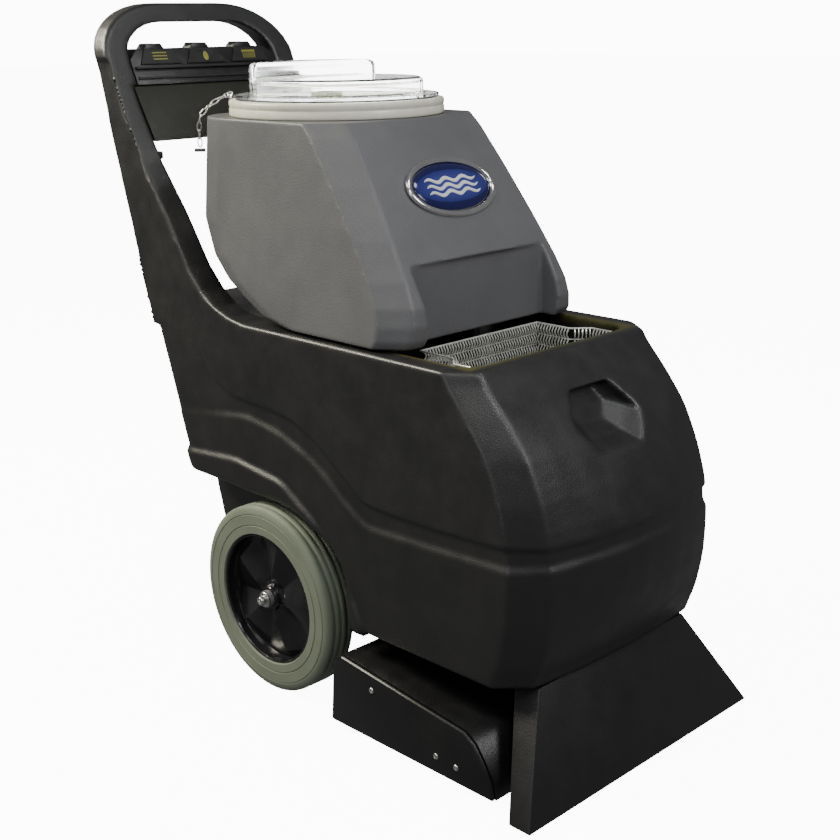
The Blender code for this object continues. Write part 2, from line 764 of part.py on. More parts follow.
def make_float_cage():
    """A slotted cup on the air pipe that holds the shut-off ball under the lid."""
    x, y, foot = AIR_X, AIR_Y, 0.858 + GAP
    cup = cylinder("float_cage", (x, y, foot), (x, y, foot + 0.052), 0.024, "hose_grey", 20)
    cut(cup, cylinder("cage_bore", (x, y, foot + 0.006), (x, y, foot + 0.07), 0.0205, None, 20))
    cut(cup, cylinder("cage_port", (x, y, foot - 0.01), (x, y, foot + 0.02), 0.012, None, 16))
    cut(cup, box("cage_slot", (x - 0.008, y - 0.04, foot + 0.014), (x + 0.008, y + 0.04, foot + 0.040)))
    form = bmesh.new()
    bmesh.ops.create_icosphere(form, subdivisions=2, radius=0.0175)
    bmesh.ops.transform(form, matrix=Matrix.Translation((x, y, foot + 0.0245)), verts=form.verts)
    finished("float_ball", form, "ring_cream", smooth=60)


def badge(name, middle, normal, radii, thickness, material, hole=None):
    """An oval plate, or ring, lying on the sloped front."""
    sideways = Vector((1, 0, 0))
    upward = normal.cross(sideways)
    count = 36

    def oval(radii, lift):
        rows = arc((0, 0), radii, 0, 360 - 360 / count, count - 1)
        return [middle + sideways * a + upward * b + normal * lift for a, b in rows]

    piece = loft(name, [oval(radii, 0), oval((radii[0] - 0.001, radii[1] - 0.001), thickness)], material, smooth=30)
    if hole:
        cut(piece, loft(name + "_hole", [oval(hole, -0.01), oval(hole, thickness + 0.01)]))
    return piece


# ---------------------------------------------------------------- brush head
def make_brush_head():
    front = [(HEAD_FRONT, HEAD_CLEARANCE), (-0.484, 0.040), (-0.471, 0.062), (-0.455, 0.084), (-0.437, 0.096)]
    roof = [(-0.192, 0.124), (-0.180, 0.119), (-0.172, 0.105), (HEAD_BACK, HEAD_CLEARANCE)]
    outer = front + roof
    housing = plate("brush_housing", outer, (-HEAD_HALF, HEAD_HALF), "body_black")
    wall = 0.005
    inner = [(-0.484, -0.02), (-0.478, 0.038), (-0.466, 0.059), (-0.451, 0.079), (-0.436, 0.091)]
    inner += [(-0.195, 0.118), (-0.184, 0.114), (-0.177, 0.102), (HEAD_BACK - wall, -0.02)]
    cut(housing, plate("head_hollow", inner, (-HEAD_HALF - 0.01, HEAD_HALF + 0.01)))
    for side in (-1, 1):
        lug = [(-0.190, 0.110), (-0.166, 0.146), (-0.1525, 0.145), (-0.1525, 0.130), (-0.176, 0.100)]
        across = (side * 0.115 - 0.004, side * 0.115 + 0.004)
        join(housing, plate("lug_union_" + ("left" if side < 0 else "right"), lug, across))
    cut(housing, cylinder("pivot_bore", (-0.2, PIVOT_Y, PIVOT_Z), (0.2, PIVOT_Y, PIVOT_Z), 0.0056))
    for side, word in ((-1, "left"), (1, "right")):
        start = side * (HEAD_HALF + GAP)
        across = sorted((start, side * (HEAD_HALF + END_PLATE)))
        cover = plate("end_plate_" + word, outer, across, "body_black")
        round_edges(cover, 0.003, 2, 60)
        bearing_x = side * (HEAD_HALF - 0.0005)
        bearing = cylinder(
            "brush_bearing_" + word,
            (bearing_x - side * 0.009, BRUSH_Y, BRUSH_Z),
            (bearing_x, BRUSH_Y, BRUSH_Z),
            0.016,
            "steel",
            20,
        )
        bore = cylinder("bearing_bore_" + word, (side * 0.2, BRUSH_Y, BRUSH_Z), (side * 0.26, BRUSH_Y, BRUSH_Z), 0.0085)
        cut(bearing, bore)
    cylinder("brush_shaft", (-0.236, BRUSH_Y, BRUSH_Z), (0.236, BRUSH_Y, BRUSH_Z), 0.008, "steel", 20)
    make_roller()
    make_drive()
    cylinder("spray_bar", (-0.225, -0.452, 0.052), (0.225, -0.452, 0.052), 0.007, "hose_grey", 16)


def make_roller():
    """The cylindrical brush, grooved between its bristle rows so that its turning shows."""
    low, high = -0.224, 0.188
    rows, outline = 12, []
    for row in range(rows):
        start = 360 / rows * row
        outline += arc((0, 0), (BRUSH_RADIUS, BRUSH_RADIUS), start, start + 18, 2)
        outline += arc((0, 0), (BRUSH_CORE, BRUSH_CORE), start + 21, start + 27, 1)
    outline = [(BRUSH_Y + a, BRUSH_Z + b) for a, b in outline]
    roller = plate("brush_roller", outline, (low, high), "bristle")
    cut(roller, cylinder("roller_bore", (-0.25, BRUSH_Y, BRUSH_Z), (0.25, BRUSH_Y, BRUSH_Z), 0.0084))


def make_drive():
    """The brush motor, its pulley, the belt and the brush pulley, on the right-hand end."""
    low, high = 0.196, 0.212
    brush_pulley = cylinder("brush_pulley", (low, BRUSH_Y, BRUSH_Z), (high, BRUSH_Y, BRUSH_Z), 0.032, "steel", 28)
    cut(brush_pulley, cylinder("pulley_bore", (0.15, BRUSH_Y, BRUSH_Z), (0.25, BRUSH_Y, BRUSH_Z), 0.0084))
    cylinder("motor_pulley", (low, MOTOR_Y, MOTOR_Z), (high, MOTOR_Y, MOTOR_Z), 0.016, "steel", 24)
    cylinder("brush_motor", (0.02, MOTOR_Y, MOTOR_Z), (low - 0.002, MOTOR_Y, MOTOR_Z), 0.034, "motor_metal", 24)
    outside = belt_line(0.032 + 0.0034, 0.016 + 0.0034)
    inside = belt_line(0.032 + 0.0006, 0.016 + 0.0006)
    belt = plate("drive_belt", outside, (low + 0.002, high - 0.002), "black_rubber")
    cut(belt, plate("belt_inside", inside, (low - 0.01, high + 0.01)))


def belt_line(brush_radius, motor_radius):
    """The outline round both pulleys: two arcs and the straight runs that touch them."""
    away = Vector((MOTOR_Y - BRUSH_Y, MOTOR_Z - BRUSH_Z))
    lean = math.degrees(math.atan2(away.y, away.x))
    open_angle = math.degrees(math.acos((brush_radius - motor_radius) / away.length))
    points = arc((BRUSH_Y, BRUSH_Z), (brush_radius,) * 2, lean + open_angle, lean + 360 - open_angle, 20)
    points += arc((MOTOR_Y, MOTOR_Z), (motor_radius,) * 2, lean - open_angle, lean + open_angle, 10)
    return points


# ---------------------------------------------------------------- shoe, chassis and what they carry
def make_shoe():
    """The suction shoe: a flared hood, open along its lower edge, with the pipe's collar on top."""
    outer = shoe_sections(0.0)
    shoe = loft("vacuum_shoe", outer, "body_black")
    cut(shoe, loft("shoe_hollow", shoe_sections(SHOE_WALL)))
    port_y = SHOE_TOP_FRONT + SHOE_DEPTH / 2
    cut(shoe, cylinder("shoe_port", (PIPE_X, port_y, 0.12), (PIPE_X, port_y, 0.18), PIPE_RADIUS - 0.003))
    return shoe


def shoe_sections(wall):
    rows = []
    for z in (0.0, SHOE_TOP):
        share = z / SHOE_TOP
        half = SHOE_HALF + (SHOE_TOP_HALF - SHOE_HALF) * share - wall
        front = -SHOE_REACH + (SHOE_TOP_FRONT + SHOE_REACH) * share + wall
        back = front + 0.036 + (SHOE_DEPTH - 0.036) * share - 2 * wall
        height = z if wall == 0 else (-0.01 if z == 0 else SHOE_TOP - wall)
        rows.append([(-half, front, height), (half, front, height), (half, back, height), (-half, back, height)])
    return rows


def make_chassis():
    """The steel tray that closes the motor bay and holds the axle and the brush head's pivot rod."""
    top = BODY_BOTTOM - GAP
    low, high = (-0.163, -0.150, 0.113), (0.163, 0.158, top)
    tray = box("chassis_tray", low, high, "steel")
    cut(tray, box("tray_hollow", (low[0] + 0.003, low[1] + 0.003, low[2] + 0.003), (0.16, high[1] - 0.003, 0.2)))
    slot = AXLE_RADIUS + 0.0004
    cut(tray, cylinder("axle_slot", (-0.2, 0, WHEEL_RADIUS), (0.2, 0, WHEEL_RADIUS), slot))
    cut(tray, box("axle_slot_top", (-0.2, -slot, WHEEL_RADIUS), (0.2, slot, 0.2)))
    for side in (-1, 1):
        bracket = [(-0.168, 0.120), (-0.168, 0.150), (-0.149, 0.150), (-0.149, 0.114)]
        across = (side * 0.140 - 0.003, side * 0.140 + 0.003)
        join(tray, plate("bracket_union_" + ("left" if side < 0 else "right"), bracket, across))
    cut(tray, cylinder("rod_bore", (-0.2, PIVOT_Y, PIVOT_Z), (0.2, PIVOT_Y, PIVOT_Z), 0.0053))
    cylinder("head_pivot_rod", (-0.150, PIVOT_Y, PIVOT_Z), (0.150, PIVOT_Y, PIVOT_Z), 0.005, "steel", 16)


def duct_ends(extra):
    """The ends of the air duct from the vacuum motor to the tank, each moved out by extra times its length."""
    low, high = Vector((AIR_X, FAN_Y, 0.314)), Vector((AIR_X, AIR_Y, RIM_HEIGHT - 0.006))
    return low - (high - low) * extra, high + (high - low) * extra


def make_machinery():
    tray_floor = 0.116 + GAP
    motor = [
        (0.0, 0.190),
        (0.022, 0.190),
        (0.022, 0.150),
        (0.052, 0.146),
        (0.052, 0.110),
        (0.056, 0.110),
        (0.056, 0.040),
        (0.048, 0.036),
        (0.048, 0.0),
        (0.0, 0.0),
    ]
    turned("vacuum_motor", motor, (AIR_X, FAN_Y, tray_floor), "motor_metal", 32)
    duct = cylinder("air_duct", *duct_ends(0.0), DUCT_RADIUS, "hose_grey", 20)
    cut(duct, cylinder("duct_bore", *duct_ends(0.05), DUCT_RADIUS - 0.003, None, 16))
    pump = box("solution_pump", (0.060, 0.050, tray_floor), (0.130, 0.130, tray_floor + 0.060), "motor_metal", 0.004)
    join(pump, cylinder("pump_body_union", (0.095, 0.090, 0.15), (0.095, 0.090, 0.235), 0.027))
    cylinder("solution_filter", (0.110, -0.050, tray_floor), (0.110, -0.050, 0.21), 0.018, "clear_lid", 20)
    pipe_way = [
        (PIPE_X, SHOE_TOP_FRONT + SHOE_DEPTH / 2, SHOE_TOP + GAP),
        (PIPE_X, SHOE_TOP_FRONT + SHOE_DEPTH / 2, 0.180),
        (PIPE_X, -0.467, 0.224),
        (PIPE_X, -0.438, 0.264),
        (PIPE_X, -0.400, 0.300),
        (PIPE_X, -0.350, 0.335),
        (PIPE_X, -0.290, 0.375),
        (PIPE_X, -0.225, 0.420),
        (PIPE_X, -0.175, 0.470),
        (PIPE_X, PORT_Y, 0.525),
        (PIPE_X, PORT_Y, RIM_HEIGHT),
    ]
    tube("suction_pipe", pipe_way, PIPE_RADIUS, "hose_grey", 3)
    gland_z = 0.420
    gland_y = interpolated(TUB_BACK, gland_z)
    profile = [(0.0, 0.012), (0.012, 0.012), (0.016, 0.006), (0.020, 0.003), (0.020, 0.0), (0.0, 0.0)]
    gland = turned("power_inlet", profile, (0.10, gland_y + 0.0005, gland_z), "switch_black", 24)
    gland.rotation_euler = (-math.pi / 2 - math.atan2(0.086, 0.22), 0, 0)


def basket_section(z, inset):
    """The basket's plan, narrower at the back so that it lifts out between the tank's front corners."""
    front, back = BASKET_FRONT + inset, BASKET_BACK - inset
    half, back_half, shoulder = BASKET_HALF - inset, BASKET_BACK_HALF - inset, BASKET_SHOULDER - inset
    points = [(half, front), (half, shoulder - (half - back_half)), (back_half, shoulder), (back_half, back)]
    points += [(-x, y) for x, y in reversed(points)]
    return [(x, y, z) for x, y in points]


def make_basket():
    """The strainer in the fill mouth: an open tray."""
    basket = loft("strainer_basket", [basket_section(z, 0) for z in (BASKET_FLOOR, BASKET_TOP)], "steel")
    heights = (BASKET_FLOOR + BASKET_WALL, BASKET_TOP + 0.02)
    cut(basket, loft("basket_hollow", [basket_section(z, BASKET_WALL) for z in heights]))


def make_cord_hooks():
    """Two small hooks on the inner sides of the arms, for winding up the lead."""
    for side, word in ((-1, "left"), (1, "right")):
        low, high = sorted((side * (ARM_INNER - GAP), side * (ARM_INNER - 0.014)))
        box("cord_hook_" + word, (low, 0.325, 0.800), (high, 0.345, 0.812), "body_black", 0.002)


# ---------------------------------------------------------------- joints
def put_on_axis(name, place, *pieces):
    """Hangs pieces that move together on an empty that lies on their joint's axis."""
    pivot = bpy.data.objects.new(name, None)
    pivot.parent = root
    pivot.location = place
    parts.objects.link(pivot)
    for piece in pieces:
        moved = bpy.data.objects[piece]
        moved.parent = pivot
        moved.location -= Vector(place)


def place_joints():
    for side, word in ((-1, "left"), (1, "right")):
        place = (side * (WHEEL_FACE - TYRE_WIDTH / 2), 0, WHEEL_RADIUS)
        put_on_axis("wheel_axis_" + word, place, "tyre_" + word, "wheel_rim_" + word, "wheel_bush_" + word)
    for place, name in SWITCHES:
        put_on_axis("rocker_axis_" + name, (place, *switch_axis()), "rocker_" + name)
    head = ("brush_housing", "end_plate_left", "end_plate_right", "brush_bearing_left", "brush_bearing_right")
    put_on_axis("head_axis", (0, PIVOT_Y, PIVOT_Z), *head, "brush_motor", "spray_bar", "drive_belt")
    put_on_axis("brush_axis", (0, BRUSH_Y, BRUSH_Z), "brush_roller", "brush_shaft", "brush_pulley")
    put_on_axis("motor_axis", (0, MOTOR_Y, MOTOR_Z), "motor_pulley")
    put_on_axis("lever_axis", (VALVE_X, VALVE_Y, VALVE_Z), "drain_lever")
    tank = ("recovery_tank", "lid_ring", "lid_seal", "badge_ring", "badge_plate", "chain_stud", "lid_chain")
    fittings = ("chain_hook", "suction_standpipe", "air_standpipe", "float_cage", "drain_valve")
    put_on_axis("tank_lift", (0, LID_Y, TANK_BOTTOM), *tank, *fittings)
    put_on_axis("lid_lift", (0, LID_Y, TANK_TOP + RING_HEIGHT), "lid_dome")
    put_on_axis("float_lift", (AIR_X, AIR_Y, TANK_TOP), "float_ball")
    put_on_axis("basket_lift", (0, (BASKET_FRONT + BASKET_BACK) / 2, BASKET_FLOOR), "strainer_basket")


make_tub()
make_console()
for place, name in SWITCHES:
    make_switch(place, name)
for side, word in ((-1, "left"), (1, "right")):
    make_wheel(side, word)
make_axle()
make_recovery_tank()
make_lid()
make_tank_fittings()
make_brush_head()
make_shoe()
make_chassis()
make_machinery()
make_basket()
make_cord_hooks()
place_joints()
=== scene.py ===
"""Looks of the carpet cleaner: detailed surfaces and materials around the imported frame."""

import json
import math

import bmesh
import bpy
import numpy as np
from mathutils import Matrix, Vector


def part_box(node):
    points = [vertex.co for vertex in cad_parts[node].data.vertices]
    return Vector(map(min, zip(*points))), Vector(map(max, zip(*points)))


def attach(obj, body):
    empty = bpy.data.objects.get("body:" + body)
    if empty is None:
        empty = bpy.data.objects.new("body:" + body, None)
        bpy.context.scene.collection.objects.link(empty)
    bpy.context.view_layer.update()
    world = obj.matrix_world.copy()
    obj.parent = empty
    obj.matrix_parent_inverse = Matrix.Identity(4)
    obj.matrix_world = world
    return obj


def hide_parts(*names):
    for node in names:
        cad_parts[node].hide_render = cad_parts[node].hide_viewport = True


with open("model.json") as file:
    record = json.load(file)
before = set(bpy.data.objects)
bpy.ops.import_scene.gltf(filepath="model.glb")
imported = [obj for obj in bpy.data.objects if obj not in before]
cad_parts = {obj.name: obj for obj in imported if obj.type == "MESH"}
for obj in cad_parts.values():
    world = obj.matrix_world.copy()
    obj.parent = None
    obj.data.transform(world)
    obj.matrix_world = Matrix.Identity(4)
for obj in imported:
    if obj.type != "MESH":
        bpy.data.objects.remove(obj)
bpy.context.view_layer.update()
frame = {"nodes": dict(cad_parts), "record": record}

AXLE_Y = 0.0425  # the wheel axle's place along Y; profiles below are measured from it
SIDES = ((-1, "left"), (1, "right"))


# ---------------------------------------------------------------- node helpers for materials
# The Mix node has several sockets of one name, so its colour sockets go by number.
MIX_SHARE, MIX_FIRST, MIX_SECOND, MIX_RESULT = 0, 6, 7, 2
CELL_SHARE = 0.6  # how much of a pebble grain's height comes from its cells


class Shader:
    """One material's node tree, with short calls for the few nodes used here."""

    def __init__(self, name, colour, roughness, metallic=0.0):
        self.material = bpy.data.materials.new(name)
        self.material.use_nodes = True
        self.nodes = self.material.node_tree.nodes
        self.links = self.material.node_tree.links
        self.surface = self.nodes["Principled BSDF"]
        self.surface.inputs["Base Color"].default_value = (*colour, 1)
        self.surface.inputs["Roughness"].default_value = roughness
        self.surface.inputs["Metallic"].default_value = metallic
        self.place = self.nodes.new("ShaderNodeTexCoord").outputs["Object"]

    def noise(self, scale, detail=2.0):
        node = self.nodes.new("ShaderNodeTexNoise")
        node.inputs["Scale"].default_value = scale
        node.inputs["Detail"].default_value = detail
        self.links.new(self.place, node.inputs["Vector"])
        return node.outputs["Fac"]

    def cells(self, scale):
        node = self.nodes.new("ShaderNodeTexVoronoi")
        node.inputs["Scale"].default_value = scale
        self.links.new(self.place, node.inputs["Vector"])
        return node.outputs["Distance"]

    def ramp(self, value, stops):
        """A colour that runs through (position, colour) stops as the value rises."""
        node = self.nodes.new("ShaderNodeValToRGB")
        node.color_ramp.elements[0].position = stops[0][0]
        node.color_ramp.elements[0].color = (*stops[0][1], 1)
        node.color_ramp.elements[1].position = stops[-1][0]
        node.color_ramp.elements[1].color = (*stops[-1][1], 1)
        for position, colour in stops[1:-1]:
            node.color_ramp.elements.new(position).color = (*colour, 1)
        self.links.new(value, node.inputs["Fac"])
        return node.outputs["Color"]

    def spread(self, value, low, high, start=0.3, end=0.7):
        """The value's stretch from start to end, laid over low to high."""
        node = self.nodes.new("ShaderNodeMapRange")
        node.inputs["From Min"].default_value = start
        node.inputs["From Max"].default_value = end
        node.inputs["To Min"].default_value = low
        node.inputs["To Max"].default_value = high
        self.links.new(value, node.inputs["Value"])
        return node.outputs["Result"]

    def math(self, operation, first, second):
        node = self.nodes.new("ShaderNodeMath")
        node.operation = operation
        for socket, value in zip(node.inputs, (first, second)):
            if isinstance(value, (int, float)):
                socket.default_value = value
            else:
                self.links.new(value, socket)
        return node.outputs["Value"]

    def product(self, values):
        """All the values multiplied together."""
        total = values[0]
        for value in values[1:]:
            total = self.math("MULTIPLY", total, value)
        return total

    def blend(self, share, first, second):
        """The first colour, running into the second as the share rises to 1."""
        node = self.nodes.new("ShaderNodeMix")
        node.data_type = "RGBA"
        self.links.new(share, node.inputs[MIX_SHARE])
        self.links.new(first, node.inputs[MIX_FIRST])
        node.inputs[MIX_SECOND].default_value = (*second, 1)
        return node.outputs[MIX_RESULT]

    def clouds(self, scale, detail, dark, light, start=0.3, end=0.7):
        """Soft patches that run between two tints."""
        return self.ramp(self.noise(scale, detail), ((start, dark), (end, light)))

    def pebbles(self, grain, detail, cell_grain):
        """The height of a fine pebble grain."""
        rounded = self.math("MULTIPLY", self.cells(cell_grain), CELL_SHARE)
        return self.math("ADD", self.noise(grain, detail), rounded)

    def feed(self, socket, value):
        self.links.new(value, self.surface.inputs[socket])

    def bump(self, height, strength, distance):
        node = self.nodes.new("ShaderNodeBump")
        node.inputs["Strength"].default_value = strength
        node.inputs["Distance"].default_value = distance
        self.links.new(height, node.inputs["Height"])
        self.links.new(node.outputs["Normal"], self.surface.inputs["Normal"])


def grained_plastic(name, dark, light, roughness, grain, strength):
    """Rotomoulded polyethylene: a fine pebble grain with faint cloudy shade changes."""
    shader = Shader(name, dark, roughness)
    shader.feed("Base Color", shader.clouds(9.0, 5.0, dark, light, start=0.35))
    gloss = shader.noise(scale=26.0, detail=6.0)
    shader.feed("Roughness", shader.spread(gloss, roughness - 0.06, roughness + 0.08))
    shader.bump(shader.pebbles(grain, 1.5, grain * 1.4), strength, distance=0.0007)
    return shader.material


# The olive tint along the lip of the fill mouth is a painted reflection of light, laid into the base
# colour.
PAINTED_REFLECTION_FOOT = (0.560, 0.5745)  # the heights over which the painted olive reflection comes in
PAINTED_REFLECTION_TOP = (0.5755, 0.580)  # and over which it goes out again
PAINTED_REFLECTION_REAR = (-0.215, -0.190)
PAINTED_REFLECTION_FRONT = (-0.352, -0.340)
PAINTED_REFLECTION_SIDE = (0.176, 0.186)


def painted_reflection_share(shader):
    """How strong the painted olive reflection is at a place: 1 along the lip of the fill mouth, 0 away
    from it.
    """
    split = shader.nodes.new("ShaderNodeSeparateXYZ")
    shader.links.new(shader.place, split.inputs["Vector"])
    along, height = split.outputs["Y"], split.outputs["Z"]
    aside = shader.math("ABSOLUTE", split.outputs["X"], 0.0)
    return shader.product((
        shader.spread(height, 0.0, 1.0, *PAINTED_REFLECTION_FOOT),
        shader.spread(along, 1.0, 0.0, *PAINTED_REFLECTION_REAR),
        shader.spread(height, 1.0, 0.0, *PAINTED_REFLECTION_TOP),
        shader.spread(aside, 1.0, 0.0, *PAINTED_REFLECTION_SIDE),
        shader.spread(along, 0.0, 1.0, *PAINTED_REFLECTION_FRONT),
        shader.spread(shader.noise(scale=45.0, detail=4.0), 0.6, 1.0),
    ))


def tub_plastic(name):
    """The tub's black plastic, with a painted olive reflection round the lip of the fill mouth."""
    # The third tint is the olive of the painted reflection.
    dark, light, painted_reflection = (0.0075, 0.0075, 0.0080), (0.0110, 0.0108, 0.0108), (0.075, 0.070, 0.012)
    shader = Shader(name, dark, 0.40)
    shader.surface.inputs["Specular IOR Level"].default_value = 0.75
    clouds = shader.clouds(9.0, 5.0, dark, light, start=0.35)
    # The painted olive reflection is blended into the base colour here.
    shader.feed("Base Color", shader.blend(painted_reflection_share(shader), clouds, painted_reflection))
    shader.feed("Roughness", shader.spread(shader.noise(scale=26.0, detail=6.0), 0.35, 0.49))
    shader.bump(shader.pebbles(420.0, 2.0, 620.0), strength=0.30, distance=0.0007)
    return shader.material


def smooth_plastic(name, dark, light, roughness):
    """Injection-moulded plastic or print, almost even, with a very fine grain."""
    shader = Shader(name, dark, roughness)
    shader.feed("Base Color", shader.clouds(30.0, 4.0, dark, light))
    gloss = shader.noise(scale=60.0, detail=5.0)
    shader.feed("Roughness", shader.spread(gloss, roughness - 0.05, roughness + 0.07))
    shader.bump(shader.noise(scale=900.0, detail=1.0), strength=0.12, distance=0.0003)
    return shader.material


def worked_metal(name, dark, light, roughness):
    """Plated, polished or cast metal, a little uneven in its tint and gloss."""
    shader = Shader(name, dark, roughness, metallic=1.0)
    shader.feed("Base Color", shader.clouds(45.0, 5.0, dark, light))
    gloss = shader.noise(scale=420.0, detail=3.0)
    shader.feed("Roughness", shader.spread(gloss, roughness - 0.06, roughness + 0.10))
    shader.bump(shader.noise(scale=700.0, detail=2.0), strength=0.10, distance=0.0002)
    return shader.material


def rubber(name, dark, light, roughness):
    """Matt rubber or nylon with a dusty, patchy shade."""
    shader = Shader(name, dark, roughness)
    shader.feed("Base Color", shader.clouds(14.0, 6.0, dark, light, end=0.72))
    gloss = shader.noise(scale=80.0, detail=4.0)
    shader.feed("Roughness", shader.spread(gloss, roughness - 0.08, roughness + 0.1))
    shader.bump(shader.noise(scale=650.0, detail=3.0), strength=0.25, distance=0.0004)
    return shader.material


def clear_plastic(name):
    """Clear moulded plastic, slightly rippled."""
    shader = Shader(name, (0.93, 0.95, 0.94), 0.06)
    shader.surface.inputs["Transmission Weight"].default_value = 1.0
    shader.surface.inputs["IOR"].default_value = 1.45
    shader.feed("Roughness", shader.spread(shader.noise(scale=30.0, detail=4.0), 0.03, 0.12))
    shader.bump(shader.noise(scale=18.0, detail=2.0), strength=0.06, distance=0.002)
    return shader.material


def wire_metal(name):
    """Bright drawn wire, partly metallic, so that it stays pale where it mirrors the black tub."""
    shader = Shader(name, (0.80, 0.80, 0.74), 0.32, metallic=0.45)
    shader.feed("Base Color", shader.clouds(160.0, 3.0, (0.55, 0.55, 0.50), (0.92, 0.92, 0.86)))
    shader.feed("Roughness", shader.spread(shader.noise(scale=400.0, detail=2.0), 0.25, 0.42))
    return shader.material


def blue_enamel(name):
    """Glossy blue, deepening from the middle of the badge to its edge."""
    shader = Shader(name, (0.03, 0.05, 0.25), 0.14)
    low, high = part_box("badge_plate")
    spot = shader.nodes.new("ShaderNodeMapping")
    spot.vector_type = "TEXTURE"
    spot.inputs["Location"].default_value = [(a + b) / 2 for a, b in zip(low, high)]
    spot.inputs["Scale"].default_value = [(b - a) / 2 for a, b in zip(low, high)]
    shader.links.new(shader.place, spot.inputs["Vector"])
    reach = shader.nodes.new("ShaderNodeVectorMath")
    reach.operation = "LENGTH"
    shader.links.new(spot.outputs["Vector"], reach.inputs[0])
    unevenness = shader.math("MULTIPLY", shader.noise(scale=60.0), 0.08)
    away = shader.math("ADD", reach.outputs["Value"], unevenness)
    middle, edge, outside = (0.060, 0.070, 0.300), (0.022, 0.030, 0.170), (0.008, 0.010, 0.070)
    shader.feed("Base Color", shader.ramp(away, ((0.25, middle), (0.95, edge), (1.25, outside))))
    shader.feed("Roughness", shader.spread(shader.noise(scale=90.0), 0.10, 0.18))
    return shader.material


# Each recipe is a material's name, dark tint, light tint and roughness, and a grained one goes on to
# the scale of its grain and the strength of its bump.
GRAINED = {
    "tank": ("tank_plastic", (0.116, 0.117, 0.124), (0.136, 0.137, 0.143), 0.42, 420.0, 0.40),
    "head": ("head_plastic", (0.0060, 0.0060, 0.0068), (0.0095, 0.0095, 0.0100), 0.34, 500.0, 0.20),
    "shoe": ("shoe_plastic", (0.009, 0.009, 0.010), (0.014, 0.014, 0.015), 0.42, 420.0, 0.30),
    "panel": ("panel_plastic", (0.0062, 0.0066, 0.0026), (0.0095, 0.0100, 0.0042), 0.55, 460.0, 0.30),
}
SMOOTH = {
    "ring": ("ring_plastic", (0.80, 0.78, 0.64), (0.87, 0.85, 0.73), 0.25),
    "rim": ("rim_plastic", (0.008, 0.008, 0.010), (0.014, 0.014, 0.016), 0.20),
    "switch": ("switch_plastic", (0.010, 0.010, 0.011), (0.016, 0.016, 0.017), 0.38),
    "print": ("yellow_print", (0.22, 0.21, 0.03), (0.30, 0.29, 0.06), 0.5),
    "emblem": ("white_enamel", (0.72, 0.73, 0.75), (0.80, 0.81, 0.83), 0.25),
    "hose": ("hose_plastic", (0.16, 0.16, 0.17), (0.22, 0.22, 0.23), 0.5),
    "cage": ("cage_plastic", (0.045, 0.048, 0.014), (0.075, 0.078, 0.028), 0.45),
}
METAL = {
    "steel": ("zinc_steel", (0.55, 0.55, 0.53), (0.72, 0.72, 0.70), 0.26),
    "chrome": ("chrome", (0.78, 0.78, 0.80), (0.90, 0.90, 0.92), 0.12),
    "motor": ("cast_metal", (0.28, 0.28, 0.29), (0.40, 0.40, 0.41), 0.45),
}
RUBBER = {
    "tyre": ("tyre_rubber", (0.165, 0.190, 0.142), (0.215, 0.242, 0.185), 0.66),
    "belt": ("black_rubber", (0.016, 0.016, 0.016), (0.026, 0.026, 0.026), 0.75),
    "bristle": ("bristle_nylon", (0.035, 0.036, 0.045), (0.07, 0.07, 0.085), 0.6),
}
look = {
    "body": tub_plastic("body_plastic"),
    "clear": clear_plastic("clear_plastic"),
    "wire": wire_metal("bright_wire"),
    "enamel": blue_enamel("blue_enamel"),
}
MAKERS = ((grained_plastic, GRAINED), (smooth_plastic, SMOOTH), (worked_metal, METAL), (rubber, RUBBER))
for make_look, recipes in MAKERS:
    for look_name, recipe in recipes.items():
        look[look_name] = make_look(*recipe)

CAD_LOOKS = {
    "body_black": "body",
    "tank_grey": "tank",
    "ring_cream": "ring",
    "clear_lid": "clear",
    "tyre_grey": "tyre",
    "rim_black": "rim",
    "steel": "steel",
    "chrome": "chrome",
    "badge_blue": "enamel",
    "black_rubber": "belt",
    "bristle": "bristle",
    "motor_metal": "motor",
    "hose_grey": "hose",
    "switch_black": "switch",
}


def dress_cad_nodes():
    for row in frame["record"]["subparts"]:
        obj = frame["nodes"][row["node"]]
        obj.data.materials.clear()
        obj.data.materials.append(look[CAD_LOOKS[row["material_slot"]]])


# ---------------------------------------------------------------- mesh helpers
def new_piece(name, mesh, material, body, replaced=(), *, smooth):
    """A dressed piece that rides on a body. Edges sharper than smooth, in degrees, stay crisp."""
    piece = bpy.data.objects.new(name, mesh)
    bpy.context.scene.collection.objects.link(piece)
    mesh.materials.clear()
    mesh.materials.append(look[material])
    mesh.shade_smooth()
    mesh.set_sharp_from_angle(angle=math.radians(smooth))
    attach(piece, body)
    if replaced:
        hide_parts(*replaced)
    return piece


def evaluated(piece):
    """The mesh of a piece with its modifiers worked out."""
    graph = bpy.context.evaluated_depsgraph_get()
    return bpy.data.meshes.new_from_object(piece.evaluated_get(graph))


WELD_REACH = 0.00002


def welded_copy(node):
    """A CAD node's mesh with its split points made one."""
    form = bmesh.new()
    form.from_mesh(frame["nodes"][node].data)
    bmesh.ops.remove_doubles(form, verts=form.verts, dist=WELD_REACH)
    mesh = bpy.data.meshes.new(node + "_copy")
    form.to_mesh(mesh)
    form.free()
    return mesh


def remeshed(node, voxel, rounding):
    """A CAD node's shape in even small faces, its edges rounded off by smoothing."""
    helper = bpy.data.objects.new("remesh_helper", welded_copy(node))
    bpy.context.scene.collection.objects.link(helper)
    grid = helper.modifiers.new("Grid", "REMESH")
    grid.mode = "VOXEL"
    grid.voxel_size = voxel
    soften = helper.modifiers.new("Soften", "SMOOTH")
    soften.factor = 0.5
    soften.iterations = rounding
    bpy.context.view_layer.update()
    mesh = evaluated(helper)
    bpy.data.objects.remove(helper)
    return mesh


def points_of(mesh):
    co = np.zeros(len(mesh.vertices) * 3, np.float32)
    mesh.vertices.foreach_get("co", co)
    return co.reshape(-1, 3).astype(float)


